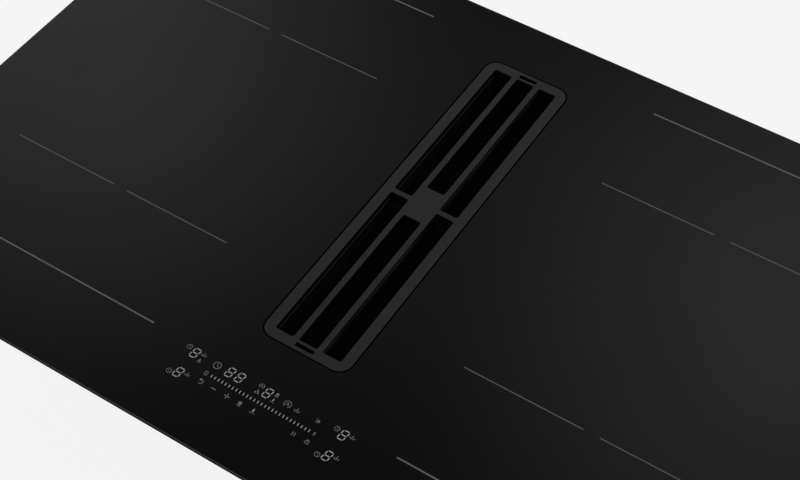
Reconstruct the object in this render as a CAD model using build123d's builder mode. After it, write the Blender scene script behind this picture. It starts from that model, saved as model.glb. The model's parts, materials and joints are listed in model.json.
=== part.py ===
from build123d import *
import os
from math import acos, cos, degrees, radians, sin

# Downdraft induction cooktop, in millimetres. X runs to the right, Y to the back and Z up.
# The origin is the middle of the glass, on the plane of the worktop that carries it, so what
# hangs in the worktop's cut-out lies below zero.

# Glass top
glass_width = 800.0
glass_depth = 520.0
glass_thickness = 4.0
glass_corner = 6.0
glass_bevel = 1.0
opening_chamfer = 0.3

# Foam strip between the glass and the worktop
strip_thickness = 1.5
strip_width = 10.0
strip_inset = 3.0

# Grille, flush with the glass
grille_width = 79.4
grille_thickness = 11.0
grille_corner = 11.5
grille_front_margin = 112.75
grille_back_margin = 54.75
grille_rim = 9.35
grille_bar = 5.0
cross_bar = 4.6
centre_pad = 35.0
slot_corner = 2.0
end_slot_width = 3.5
end_slot_margin = 3.45
grille_edge = 0.4
joint_gap = 1.1
pad_thickness = 1.0
pad_width = 4.0
pad_length = 14.0
pad_end_gap = 26.25

# Well under the grille, with the ledge for the grille and the lip for the filter cassette
well_seal_thickness = 0.8
well_seal_width = 9.0
well_wall = 2.0
well_flange_width = 13.0
well_flange_thickness = 2.5
well_setback = 0.4
gusset_thickness = 2.0
gusset_inset = 2.0
gusset_low = -30.0
gussets_per_side = 4
ledge_thickness = 2.0
lip_width = 3.0
lip_thickness = 2.0

# Grease-filter cassette
cassette_width = 68.0
cassette_end_gap = 5.75
cassette_height = 46.0
cassette_corner = 7.0
cassette_sheet = 1.2
cassette_clearance = 0.6
cassette_return = 3.0
mesh_thickness = 7.0
mesh_clearance = 0.2
mesh_valley = 9.8
pleats = 11
pleat_width = 2.0
pleat_depth = 1.5
handle_width = 14.0
handle_thickness = 1.5
handle_rise = 5.0
handle_land = 8.0
handle_mitre = 0.6

# Worktop cut-out and the folded tray that hangs in it
cutout_width = 750.0
cutout_margin_y = 15.0
cutout_play_x = 5.0
cutout_play_y = 4.0
tray_depth = 60.0
tray_sheet = 0.8
tray_front_depth = 24.0
tray_slope_length = 24.0
tray_hole_play = 0.6
louvre_pitch = 14.0
louvre_width = 5.0
louvre_height = 26.0
back_louvres = 14
side_louvres = 7
side_louvre_drop = 4.0

# Bonded steel angle under the rim of the glass
angle_sheet = 1.0
angle_flange = 11.0
angle_leg = 12.5
angle_play = 0.3

# Spring clamps on the tray's sides
clamp_width = 30.0
clamp_sheet = 0.8
clamp_pitch = 300.0
clamp_bow = 7.0
clamp_flat = 16.0
clamp_height = 40.0
clamp_gap = 2.0
clamp_toe = 1.2
clamp_belly_drop = 1.0

# Screws, of which the hexagon heads are drawn
head_radius = 3.6
head_height = 2.2

# Cooking zones: two coils on each side
zone_x = 220.6
zone_front_margin = 58.8
zone_back_margin = 20.8
mica_width = 214.0
mica_end_gap = 18.1
mica_thickness = 0.5
winding_width = 200.0
winding_end_gap = 24.1
winding_corner = 40.0
eye_corner = 14.0
winding_thickness = 5.0
winding_band = 52.0
carrier_margin = 3.0
carrier_corner = 40.0
carrier_eye = 20.0
carrier_thickness = 2.0
ferrite_length = 44.0
ferrite_width = 12.0
ferrite_thickness = 5.0
ferrite_circle = 58.0
ferrites_per_coil = 8
support_radius = 6.0
support_x = 78.0
support_y = 62.0
support_height = 11.0
sensor_size = 12.0
sensor_leg = 4.0

# Folded shelf under the coils
shelf_sheet = 1.5
shelf_width = 235.5
shelf_end_gap = 7.2
shelf_eye = 24.0
shelf_window_width = 60.0
shelf_window_height = 18.0
shelf_window_pitch = 86.0

# Circuit boards on spacers
board_thickness = 1.6
spacer_height = 6.0
spacer_radius = 4.0
power_board_width = 130.0
power_board_front_gap = 61.0
power_board_back_gap = 121.0
power_board_x = 177.0
spacer_margin = 7.0
parts_line_x = 38.0
capacitor_radius = 13.0
capacitor_height = 26.0
choke_size = 36.0
choke_height = 18.0
relay_size = 22.0
relay_height = 15.0
film_width = 12.0
film_length = 30.0
film_height = 20.0
sink_width = 44.0
sink_length = 160.0
sink_height = 26.0
sink_base = 5.0
sink_fin = 1.8
sink_fins = 8
sink_x = 142.0
sink_y = -20.0
filter_board_width = 110.0
filter_board_length = 84.0
filter_board_x = -172.0
filter_board_back_gap = 17.0

# Cooling fans of the electronics
cooler_x = 288.0
cooler_back_gap = 31.0
cooler_size = 80.0
cooler_height = 20.0
cooler_bore = 38.0
cooler_hub = 16.0
cooler_blades = 7
blade_tip_gap = 1.6
blade_chord = 15.0
blade_sheet = 1.4
blade_pitch = 35.0
cooler_floor = 3.0
cooler_strut = 4.0
cooler_shaft = 1.5
cooler_rim = 1.0
hub_gap = 0.3
shaft_recess = 0.5
running_play = 0.05
vent_slot_length = 27.0
vent_slot_width = 5.0
vent_pitch = 10.0
vent_rows = 6

# Mains connection
terminal_x = -354.0
terminal_to_gland = 52.0
terminal_width = 20.0
terminal_length = 60.0
terminal_height = 22.0
terminal_ways = 5
hood_wall = 1.2
hood_play = 0.8
hood_mouth = 14.0
chamber_border = 3.0
gland_back_gap = 17.0
gland_bore = 6.5
gland_thread = 10.0
gland_nut = 12.5
gland_nut_height = 5.0
gland_length = 18.0

# Touch-control unit, bonded under the glass
panel_x = 1.0
panel_front_margin = 58.5
panel_width = 184.0
panel_length = 54.0
panel_height = 6.0
panel_corner = 3.0
display_reach = 68.0
display_row_pitch = 20.8
display_row_offset = 10.6
display_width = 12.0
display_length = 12.0
display_gap = 0.3
timer_x = -29.8
timer_width = 22.0
fan_figure_x = 0.4
board_inset = 3.0
chip_size = 14.0
chip_height = 2.0
plug_length = 26.0
plug_height = 8.0

# Blower: outer-rotor motor in a centrifugal wheel in a scroll
fan_x = 186.0
fan_y = 0.0
fan_radius = 100.0
fan_inner_radius = 80.0
fan_blades = 36
fan_blade_sheet = 1.2
fan_blade_bow = 4.0
fan_blade_lead = 7.0
fan_ring_height = 3.0
fan_disc = 2.0
fan_margin = 1.0
fan_top_gap = 7.5
fan_floor_gap = 6.5
hat_radius = 52.0
hat_foot = 47.0
hat_depth = 42.0
scroll_wall = 2.0
scroll_flange = 9.0
scroll_flange_thickness = 2.5
scroll_first = 114.0
scroll_step = 16.0
outlet_width = 218.0
outlet_height = 85.0
outlet_y = 150.0
outlet_ear = 10.0
ear_thickness = 3.0
lid_thickness = 2.5
deck_thickness = 2.5
inlet_radius = 75.0
inlet_wall = 2.0
inlet_flare = 10.0
inlet_flange = 93.0
inlet_rise = 8.5
inlet_play = 0.3

# Motor
damper_radius = 6.0
damper_height = 4.0
damper_circle = 36.0
mount_radius = 46.0
mount_sheet = 2.0
core_radius = 37.0
core_height = 30.0
core_drop = 5.5
core_slots = 9
core_slot_depth = 14.0
core_slot_width = 4.0
rotor_radius = 43.0
rotor_wall = 3.0
rotor_top = 3.5
shaft_radius = 4.0
tube_wall = 4.0
tube_drop = 2.0
shaft_drop = 1.0
bearing_radius = 8.0
bearing_height = 6.0

# Plenum: the pan under the blower and the intake, closed by the blower's deck
base_depth = 205.0
pan_wall = 2.5
pan_flange = 9.0
pan_flange_thickness = 3.0
pan_corner = 14.0
pan_edge = 4.0
pan_left = -48.0
pan_right = 344.0
pan_front_gap = 2.75
pan_back_gap = 8.75
pan_leg = 96.0
funnel_wall = 2.0
funnel_flange = 12.0
funnel_flange_thickness = 3.0
funnel_taper_x = 3.0
funnel_taper_y = 3.0
funnel_play = 0.3
funnel_tail = 4.0

# Spill drawer on the pan's floor
drawer_width = 66.0
drawer_height = 22.0
drawer_wall = 2.0
drawer_corner = 6.0
drawer_play = 0.3
drawer_back_gap = 9.0
drawer_front_width = 84.0
drawer_front_height = 34.0
drawer_front_thickness = 3.0
drawer_grip_width = 46.0
drawer_grip_reach = 9.0
drawer_window_play = 1.0
runner_height = 8.0
runner_width = 3.0

# Duct connection with its non-return flap
spigot_wall = 2.0
spigot_end = 241.0
flap_inset = 10.0
flap_drop = 4.0
flap_sheet = 1.6
flap_offset = 1.4
flap_margin = 1.5
flap_gap = 0.3
flap_stop = 2.5
flap_stop_depth = 3.0
knuckle_radius = 3.2
knuckle_length = 24.0
pin_radius = 1.5

# Levels that follow from the sizes above
glass_bottom = strip_thickness
glass_top_level = glass_bottom + glass_thickness
grille_bottom = glass_top_level - grille_thickness
ledge_top = grille_bottom - pad_thickness
well_top = glass_bottom - well_seal_thickness
tray_top = glass_bottom - angle_sheet
tray_bottom = -tray_depth
tray_floor = tray_bottom + tray_sheet
lip_top = tray_bottom + lip_thickness
cassette_top = lip_top + cassette_height
mica_bottom = glass_bottom - mica_thickness
winding_bottom = mica_bottom - winding_thickness
carrier_bottom = winding_bottom - carrier_thickness
shelf_top = carrier_bottom - support_height
board_bottom = tray_floor + spacer_height
board_top = board_bottom + board_thickness
scroll_top = tray_bottom - lid_thickness
deck_top = scroll_top - outlet_height
deck_bottom = deck_top - deck_thickness
base_level = -base_depth
pan_floor = base_level + pan_wall

# Plan sizes that follow from the sizes above
glass_front = -glass_depth / 2
glass_back = glass_depth / 2
grille_front = glass_front + grille_front_margin
grille_back = glass_back - grille_back_margin
grille_length = grille_back - grille_front
grille_setback = (grille_front + grille_back) / 2
cutout_depth = glass_depth - 2 * cutout_margin_y
tray_width = cutout_width - 2 * cutout_play_x
tray_length = cutout_depth - 2 * cutout_play_y
tray_back = tray_length / 2
tray_front = -tray_length / 2
opening_width = grille_width + 2 * joint_gap
opening_length = grille_length + 2 * joint_gap
opening_corner = grille_corner + joint_gap
collar_width = opening_width + 2 * well_setback
collar_length = opening_length + 2 * well_setback
collar_corner = opening_corner + well_setback
cassette_length = grille_length - 2 * cassette_end_gap
well_width = cassette_width + 2 * cassette_clearance
well_length = cassette_length + 2 * cassette_clearance
well_corner = cassette_corner + cassette_clearance
well_outer_corner = well_corner + well_wall
intake_at = (0.0, grille_setback)
fan_at = (fan_x, fan_y)
zone_pitch = (glass_depth - zone_front_margin - zone_back_margin) / 2
zone_y = (zone_front_margin - zone_back_margin) / 2
mica_length = zone_pitch - 2 * mica_end_gap
winding_length = zone_pitch - 2 * winding_end_gap
shelf_length = 2 * (zone_pitch - shelf_end_gap)
power_board_length = tray_length - power_board_front_gap - power_board_back_gap
power_board_y = (power_board_front_gap - power_board_back_gap) / 2
filter_board_y = tray_back - filter_board_back_gap - filter_board_length / 2
cooler_y = tray_back - cooler_back_gap - cooler_size / 2
gland_y = tray_back - gland_back_gap
terminal_y = gland_y - terminal_to_gland
panel_y = glass_front + panel_front_margin
display_row_y = panel_y + display_row_offset
pan_front = grille_front - pan_front_gap
pan_back = grille_back + pan_back_gap


def keep(piece, label):
    """Name a finished piece and write it as a STEP file of the same name."""
    piece.part.label = label
    export_step(piece.part, f"parts/{label}.step")


def plate(size, corner, bottom, top, at=(0.0, 0.0), mode=Mode.ADD):
    """Add a flat plate with rounded corners, from one level to another."""
    with BuildSketch(Plane.XY.offset(bottom)) as outline:
        with Locations(at):
            if corner > 0:
                RectangleRounded(size[0], size[1], corner)
            else:
                Rectangle(size[0], size[1])
    extrude(outline.sketch, amount=top - bottom, mode=mode)


def ring(size, corner, width, bottom, top, at=(0.0, 0.0), mode=Mode.ADD):
    """Add a flat ring of one width, measured inwards from its outer size."""
    with BuildSketch(Plane.XY.offset(bottom)) as outline:
        with Locations(at):
            inner = (size[0] - 2 * width, size[1] - 2 * width)
            if corner > 0:
                RectangleRounded(size[0], size[1], corner)
                RectangleRounded(inner[0], inner[1], max(corner - width, 0.5), mode=Mode.SUBTRACT)
            else:
                Rectangle(size[0], size[1])
                Rectangle(inner[0], inner[1], mode=Mode.SUBTRACT)
    extrude(outline.sketch, amount=top - bottom, mode=mode)


def disc(radius, bottom, top, places=((0.0, 0.0),), mode=Mode.ADD):
    """Add round plates, bosses or holes, from one level to another."""
    with BuildSketch(Plane.XY.offset(bottom)) as outline:
        with Locations(*places):
            Circle(radius)
    extrude(outline.sketch, amount=top - bottom, mode=mode)


def block(x_range, y_range, z_range, mode=Mode.ADD):
    """Add a rectangular block between two limits along each axis."""
    width = x_range[1] - x_range[0]
    length = y_range[1] - y_range[0]
    middle = ((x_range[0] + x_range[1]) / 2, (y_range[0] + y_range[1]) / 2)
    plate((width, length), 0, z_range[0], z_range[1], middle, mode)


def hexagons(radius, bottom, top, places):
    """Add hexagonal standoffs or nuts, from one level to another."""
    with BuildSketch(Plane.XY.offset(bottom)) as outline:
        with Locations(*places):
            RegularPolygon(radius, 6)
    extrude(outline.sketch, amount=top - bottom)


def make_screws(label, places):
    """Make a group of equal hexagon screw heads, each on the +Z side of its place."""
    with BuildPart() as screws:
        for place in places:
            with BuildSketch(Plane(place)) as head:
                RegularPolygon(head_radius, 6)
            extrude(head.sketch, amount=head_height)
    keep(screws, label)


# ---- Glass and what it carries at the rim ----

with BuildPart() as glass_top:
    plate((glass_width, glass_depth), glass_corner, glass_bottom, glass_top_level)
    rim = glass_top.faces().sort_by(Axis.Z)[-1].edges()
    chamfer(rim, length=glass_bevel)
    plate(
        (opening_width, opening_length),
        opening_corner,
        glass_bottom,
        glass_top_level,
        intake_at,
        Mode.SUBTRACT,
    )
    top_wires = glass_top.faces().sort_by(Axis.Z)[-1].inner_wires()
    chamfer(top_wires[0].edges(), length=opening_chamfer)
keep(glass_top, "glass_top")

with BuildPart() as rim_gasket:
    strip_size = (glass_width - 2 * strip_inset, glass_depth - 2 * strip_inset)
    ring(strip_size, 0, strip_width, 0, strip_thickness)
keep(rim_gasket, "rim_gasket")

angle_outer = (
    tray_width + 2 * (angle_play + angle_sheet),
    tray_length + 2 * (angle_play + angle_sheet),
)
angle_bottom = tray_top - angle_leg
angle_screw_level = tray_top - angle_leg / 2
angle_face_x = angle_outer[0] / 2
angle_face_y = angle_outer[1] / 2
side_screw_pitch = tray_length / 2
end_screw_pitch = tray_width / 3


def rim_screw_places():
    """Places of the screws in the angle's leg, with their heads outwards."""
    places = []
    for side in (-1, 1):
        for y in (-side_screw_pitch / 2, 0, side_screw_pitch / 2):
            places.append(Location((side * angle_face_x, y, angle_screw_level), (0, side * 90, 0)))
        for x in (-end_screw_pitch, 0, end_screw_pitch):
            places.append(Location((x, side * angle_face_y, angle_screw_level), (-side * 90, 0, 0)))
    return places


with BuildPart() as glass_frame:
    ring(angle_outer, 0, angle_sheet + angle_play + angle_flange, tray_top, glass_bottom)
    ring(angle_outer, 0, angle_sheet, angle_bottom, tray_top)
keep(glass_frame, "glass_frame")
make_screws("rim_screws", rim_screw_places())

# ---- Grille ----

slot_width = (grille_width - 2 * grille_rim - 2 * grille_bar) / 3
slot_end = grille_length / 2 - grille_rim
side_slot_start = cross_bar / 2
middle_slot_start = centre_pad / 2

with BuildPart() as grille:
    with BuildSketch(Plane.XY.offset(grille_bottom)):
        with Locations(intake_at):
            RectangleRounded(grille_width, grille_length, grille_corner)
        for row in (-1, 1):
            for column in (-1, 0, 1):
                start = middle_slot_start if column == 0 else side_slot_start
                slot_middle = grille_setback + row * (start + slot_end) / 2
                with Locations((column * (slot_width + grille_bar), slot_middle)):
                    RectangleRounded(slot_width, slot_end - start, slot_corner, mode=Mode.SUBTRACT)
            end_slot_y = grille_length / 2 - end_slot_margin - end_slot_width / 2
            with Locations((0, grille_setback + row * end_slot_y)):
                Rectangle(slot_width, end_slot_width, mode=Mode.SUBTRACT)
    extrude(amount=grille_thickness)
    chamfer(grille.faces().sort_by(Axis.Z)[-1].outer_wire().edges(), length=grille_edge)
keep(grille, "grille")

pad_x = (grille_width / 2 + well_width / 2) / 2
pad_pitch = grille_length / 2 - pad_end_gap
with BuildPart() as grille_pads:
    for pad_row in (-1, 0, 1):
        for side in (-1, 1):
            pad_at = (side * pad_x, grille_setback + pad_row * pad_pitch)
            plate((pad_width, pad_length), 0, ledge_top, grille_bottom, pad_at)
keep(grille_pads, "grille_pads")

# ---- Well under the grille ----

with BuildPart() as collar_seal:
    seal_outer = (collar_width + 2 * well_seal_width, collar_length + 2 * well_seal_width)
    seal_corner = collar_corner + well_seal_width
    ring(seal_outer, seal_corner, well_seal_width, well_top, glass_bottom, intake_at)
keep(collar_seal, "collar_seal")

with BuildPart() as intake_collar:
    flange_reach = well_wall + well_flange_width
    flange_size = (collar_width + 2 * flange_reach, collar_length + 2 * flange_reach)
    flange_bottom = well_top - well_flange_thickness
    ring(flange_size, collar_corner + flange_reach, flange_reach, flange_bottom, well_top, intake_at)
    collar_size = (collar_width + 2 * well_wall, collar_length + 2 * well_wall)
    collar_outer_corner = collar_corner + well_wall
    ledge_bottom = ledge_top - ledge_thickness
    ring(collar_size, collar_outer_corner, well_wall, ledge_bottom, well_top, intake_at)
    plate(collar_size, collar_outer_corner, ledge_bottom, ledge_top, intake_at)
    well_size = (well_width + 2 * well_wall, well_length + 2 * well_wall)
    plate(well_size, well_outer_corner, tray_bottom, ledge_bottom, intake_at)
    mouth_size = (well_width - 2 * lip_width, well_length - 2 * lip_width)
    plate(mouth_size, well_corner, tray_bottom, lip_top, intake_at, Mode.SUBTRACT)
    # gussets that stiffen the flange on both long sides
    gusset_pitch = well_length / gussets_per_side
    for row in range(gussets_per_side):
        gusset_y = grille_setback + (row - (gussets_per_side - 1) / 2) * gusset_pitch
        for side in (-1, 1):
            with BuildSketch(Plane.XZ.offset(-gusset_y)) as gusset:
                with BuildLine():
                    wall_x = side * well_size[0] / 2
                    tip_x = side * (collar_size[0] / 2 + well_flange_width - gusset_inset)
                    Polyline(
                        (wall_x, flange_bottom),
                        (tip_x, flange_bottom),
                        (wall_x, gusset_low),
                        close=True,
                    )
                make_face()
            extrude(gusset.sketch, amount=gusset_thickness / 2, both=True)
    plate((well_width, well_length), well_corner, lip_top, ledge_top, intake_at, Mode.SUBTRACT)
    plate(
        (collar_width, collar_length),
        collar_corner,
        ledge_top,
        well_top,
        intake_at,
        Mode.SUBTRACT,
    )
keep(intake_collar, "intake_collar")

# ---- Grease-filter cassette ----

cassette_size = (cassette_width, cassette_length)
with BuildPart() as filter_frame:
    ring(cassette_size, cassette_corner, cassette_sheet, lip_top, cassette_top, intake_at)
    ring(
        cassette_size,
        cassette_corner,
        cassette_return + cassette_sheet,
        lip_top,
        lip_top + cassette_sheet,
        intake_at,
    )
    ring(
        cassette_size,
        cassette_corner,
        cassette_return + cassette_sheet,
        cassette_top - cassette_sheet,
        cassette_top,
        intake_at,
    )
keep(filter_frame, "filter_frame")

mesh_half = cassette_width / 2 - cassette_sheet - mesh_clearance
mesh_high = cassette_top - cassette_sheet - mesh_clearance
mesh_low = lip_top + cassette_sheet
mesh_span = cassette_length - 2 * (cassette_corner + cassette_sheet)
with BuildPart() as filter_mesh:
    # two sloping packs of expanded metal that meet along the bottom
    with BuildSketch(Plane.XZ.offset(-grille_setback)):
        with BuildLine():
            foot = mesh_thickness
            Polyline(
                (-foot, mesh_low),
                (foot, mesh_low),
                (mesh_half, mesh_high - mesh_thickness),
                (mesh_half, mesh_high),
                (mesh_half - mesh_thickness / 2, mesh_high),
                (0, mesh_low + mesh_valley),
                (mesh_thickness / 2 - mesh_half, mesh_high),
                (-mesh_half, mesh_high),
                (-mesh_half, mesh_high - mesh_thickness),
                close=True,
            )
        make_face()
    extrude(amount=mesh_span / 2, both=True)
    # pleats across both slopes
    with BuildSketch(Plane.XY.offset(mesh_high)) as pleat_lines:
        with Locations(intake_at):
            with GridLocations(0, mesh_span / (pleats + 1), 1, pleats):
                Rectangle(cassette_width, pleat_width)
    extrude(pleat_lines.sketch, amount=-pleat_depth, mode=Mode.SUBTRACT)
keep(filter_mesh, "filter_mesh")

handle_half = cassette_width / 2 - cassette_sheet
with BuildPart() as filter_handle:
    # a strap over the cassette, bent up in the middle for two fingers
    with BuildSketch(Plane.XZ.offset(-grille_setback)):
        with BuildLine():
            bend = handle_rise - handle_thickness
            Polyline(
                (-handle_half, cassette_top),
                (-handle_half + handle_land, cassette_top),
                (-handle_half + handle_land + bend, cassette_top + bend),
                (handle_half - handle_land - bend, cassette_top + bend),
                (handle_half - handle_land, cassette_top),
                (handle_half, cassette_top),
                (handle_half, cassette_top + handle_thickness),
                (handle_half - handle_land + handle_mitre, cassette_top + handle_thickness),
                (handle_half - handle_land - bend + handle_mitre, cassette_top + handle_rise),
                (handle_land + bend - handle_mitre - handle_half, cassette_top + handle_rise),
                (handle_land - handle_mitre - handle_half, cassette_top + handle_thickness),
                (-handle_half, cassette_top + handle_thickness),
                close=True,
            )
        make_face()
    extrude(amount=handle_width / 2, both=True)
keep(filter_handle, "filter_handle")

# ---- Folded tray ----

clamp_top = angle_bottom - clamp_gap
tray_side = tray_width / 2
clamp_screw_level = clamp_top - clamp_flat / 2


def clamp_screw_places():
    """Places of the clamps' screws, with their heads outwards."""
    places = []
    for side in (-1, 1):
        for y in (-clamp_pitch / 2, clamp_pitch / 2):
            place = (side * (tray_side + clamp_sheet), y, clamp_screw_level)
            places.append(Location(place, (0, side * 90, 0)))
    return places


gland_at = (terminal_x, gland_y)
scroll_centres = (
    (fan_x - scroll_step / 2, fan_y - scroll_step / 2),
    (fan_x + scroll_step / 2, fan_y - scroll_step / 2),
    (fan_x + scroll_step / 2, fan_y + scroll_step / 2),
)
scroll_right = scroll_centres[2][0] + scroll_first + 2 * scroll_step
scroll_left = scroll_right - outlet_width
flange_middle = (scroll_wall + scroll_flange) / 2


def scroll_screw_places():
    """Places of the screws round the scroll's flange, on its three arcs and beside its outlet."""
    places = []
    for index, turn in enumerate((150, 225, 315)):
        reach = scroll_first + index * scroll_step + flange_middle
        centre = scroll_centres[index]
        place = (centre[0] + reach * cos(radians(turn)), centre[1] + reach * sin(radians(turn)))
        places.append(place)
    places.append((scroll_right + flange_middle, outlet_y / 2))
    return places


funnel_reach = funnel_wall + funnel_flange
funnel_screw_x = well_width / 2 + well_wall + tray_hole_play + head_radius + 2.0
funnel_screw_places = []
for side in (-1, 1):
    for row in (-1, 1):
        funnel_screw_places.append((side * funnel_screw_x, grille_setback + row * well_length / 3))

with BuildPart() as upper_tray:
    with BuildSketch(Plane.YZ):
        with BuildLine():
            Polyline(
                (tray_front, tray_top),
                (tray_front, -tray_front_depth),
                (tray_front + tray_slope_length, tray_bottom),
                (tray_back, tray_bottom),
                (tray_back, tray_top),
                close=True,
            )
        make_face()
    extrude(amount=tray_width / 2, both=True)
    offset(amount=-tray_sheet, openings=upper_tray.faces().sort_by(Axis.Z)[-1])
    hole_size = (
        well_width + 2 * (well_wall + tray_hole_play),
        well_length + 2 * (well_wall + tray_hole_play),
    )
    hole_corner = well_outer_corner + tray_hole_play
    plate(hole_size, hole_corner, tray_bottom, tray_floor, intake_at, Mode.SUBTRACT)
    # air slots under the two cooling fans
    with BuildSketch(Plane.XY.offset(tray_bottom)) as floor_vents:
        for side in (-1, 1):
            with Locations((side * cooler_x, cooler_y)):
                with GridLocations(vent_slot_length + vent_slot_width, vent_pitch, 2, vent_rows):
                    Rectangle(vent_slot_length, vent_slot_width)
    extrude(floor_vents.sketch, amount=tray_sheet, mode=Mode.SUBTRACT)
    # louvres in the back wall
    with BuildSketch(Plane.XZ.offset(-tray_back)) as back_vents:
        with Locations((0, -tray_depth / 2)):
            with GridLocations(louvre_pitch, 0, back_louvres, 1):
                Rectangle(louvre_width, louvre_height)
    extrude(back_vents.sketch, amount=2 * tray_sheet, both=True, mode=Mode.SUBTRACT)
    # louvres in both side walls
    with BuildSketch(Plane.YZ) as side_vents:
        with Locations((0, -tray_depth / 2 - side_louvre_drop)):
            with GridLocations(louvre_pitch, 0, side_louvres, 1):
                Rectangle(louvre_width, louvre_height)
    extrude(side_vents.sketch, amount=tray_width, both=True, mode=Mode.SUBTRACT)
    # hole of the cable gland
    disc(gland_thread + running_play, tray_bottom, tray_floor, [gland_at], Mode.SUBTRACT)
keep(upper_tray, "upper_tray")

# ---- Spring clamps for the cut-out ----

with BuildPart() as clamp_brackets:
    for side in (-1, 1):
        for clamp_y in (-clamp_pitch / 2, clamp_pitch / 2):
            with BuildSketch(Plane.XZ.offset(-clamp_y)) as bow:
                with BuildLine():
                    knee = clamp_top - clamp_flat
                    foot = clamp_top - clamp_height
                    belly = (knee + foot) / 2 - clamp_belly_drop
                    Polyline(
                        (side * tray_side, clamp_top),
                        (side * tray_side, knee),
                        (side * (tray_side + clamp_bow), belly),
                        (side * (tray_side + clamp_toe), foot),
                        (side * (tray_side + clamp_toe + clamp_sheet), foot),
                        (side * (tray_side + clamp_bow + clamp_sheet), belly),
                        (side * (tray_side + clamp_sheet), knee + clamp_sheet / 3),
                        (side * (tray_side + clamp_sheet), clamp_top),
                        close=True,
                    )
                make_face()
            extrude(bow.sketch, amount=clamp_width / 2, both=True)
keep(clamp_brackets, "clamp_brackets")
make_screws("clamp_screws", clamp_screw_places())

# ---- Coils ----

zones = {
    "front_left": (-zone_x, zone_y - zone_pitch / 2),
    "back_left": (-zone_x, zone_y + zone_pitch / 2),
    "front_right": (zone_x, zone_y - zone_pitch / 2),
    "back_right": (zone_x, zone_y + zone_pitch / 2),
}
zone_places = list(zones.values())

with BuildPart() as mica_sheets:
    for zone_at in zone_places:
        plate((mica_width, mica_length), 0, mica_bottom, glass_bottom, zone_at)
keep(mica_sheets, "mica_sheets")

for zone_name, zone_at in zones.items():
    with BuildPart() as coil_winding:
        # one flat-wound band of litz wire, drawn with cut corners
        winding_size = (winding_width, winding_length)
        eye_size = (winding_width - 2 * winding_band, winding_length - 2 * winding_band)
        plate(winding_size, 0, winding_bottom, mica_bottom, zone_at)
        chamfer(coil_winding.edges().filter_by(Axis.Z), length=winding_corner)
        with BuildSketch(Plane.XY.offset(winding_bottom)) as eye:
            with Locations(zone_at):
                Rectangle(eye_size[0], eye_size[1])
            chamfer(eye.vertices(), length=eye_corner)
        extrude(eye.sketch, amount=winding_thickness, mode=Mode.SUBTRACT)
    keep(coil_winding, f"coil_winding_{zone_name}")

    with BuildPart() as coil_carrier:
        # eight-sided carrier with a square eye for the sensor
        carrier_size = (winding_width + 2 * carrier_margin, winding_length + 2 * carrier_margin)
        plate(carrier_size, 0, carrier_bottom, winding_bottom, zone_at)
        chamfer(coil_carrier.edges().filter_by(Axis.Z), length=carrier_corner)
        carrier_eye_size = (carrier_eye, carrier_eye)
        plate(carrier_eye_size, 0, carrier_bottom, winding_bottom, zone_at, Mode.SUBTRACT)
    keep(coil_carrier, f"coil_carrier_{zone_name}")

with BuildPart() as coil_ferrites:
    ferrite_bottom = carrier_bottom - ferrite_thickness
    with Locations(*[Location((x, y, ferrite_bottom)) for x, y in zone_places]):
        with PolarLocations(ferrite_circle, ferrites_per_coil):
            Box(
                ferrite_length,
                ferrite_width,
                ferrite_thickness,
                align=(Align.CENTER, Align.CENTER, Align.MIN),
            )
keep(coil_ferrites, "coil_ferrites")

support_places = []
for zone_at in zone_places:
    for sign_x in (-1, 1):
        for sign_y in (-1, 1):
            support_places.append((zone_at[0] + sign_x * support_x, zone_at[1] + sign_y * support_y))
with BuildPart() as coil_supports:
    hexagons(support_radius, shelf_top, carrier_bottom, support_places)
keep(coil_supports, "coil_supports")

with BuildPart() as coil_sensors:
    # square pads on legs, pressed up against the mica
    for zone_at in zone_places:
        plate((sensor_size, sensor_size), 0, carrier_bottom, mica_bottom, zone_at)
        plate((sensor_leg, sensor_leg), 0, shelf_top, carrier_bottom, zone_at)
keep(coil_sensors, "coil_sensors")

for side, hand in ((-1, "left"), (1, "right")):
    with BuildPart() as coil_plate:
        # aluminium sheet folded down along both long sides
        shelf_at = (side * zone_x, zone_y)
        shelf_size = (shelf_width, shelf_length)
        plate(shelf_size, 0, tray_floor, shelf_top, shelf_at)
        hollow_size = (shelf_width - 2 * shelf_sheet, shelf_length)
        hollow_top = shelf_top - shelf_sheet
        plate(hollow_size, 0, tray_floor, hollow_top, shelf_at, Mode.SUBTRACT)
        for row in (-1, 1):
            eye_at = (side * zone_x, zone_y + row * zone_pitch / 2 + shelf_eye)
            plate((shelf_eye, shelf_eye), 0, hollow_top, shelf_top, eye_at, Mode.SUBTRACT)
        with BuildSketch(Plane.YZ.offset(side * zone_x)) as windows:
            with Locations((zone_y, (tray_floor + hollow_top) / 2)):
                with GridLocations(shelf_window_pitch, 0, 4, 1):
                    Rectangle(shelf_window_width, shelf_window_height)
        extrude(windows.sketch, amount=shelf_width, both=True, mode=Mode.SUBTRACT)
    keep(coil_plate, f"coil_plate_{hand}")

# ---- Circuit boards ----


def corner_places(middle, width, length, margin):
    """The four corners of a board, a margin in from its edges."""
    places = []
    for sign_x in (-1, 1):
        for sign_y in (-1, 1):
            x = middle[0] + sign_x * (width / 2 - margin)
            y = middle[1] + sign_y * (length / 2 - margin)
            places.append((x, y))
    return places


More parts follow.
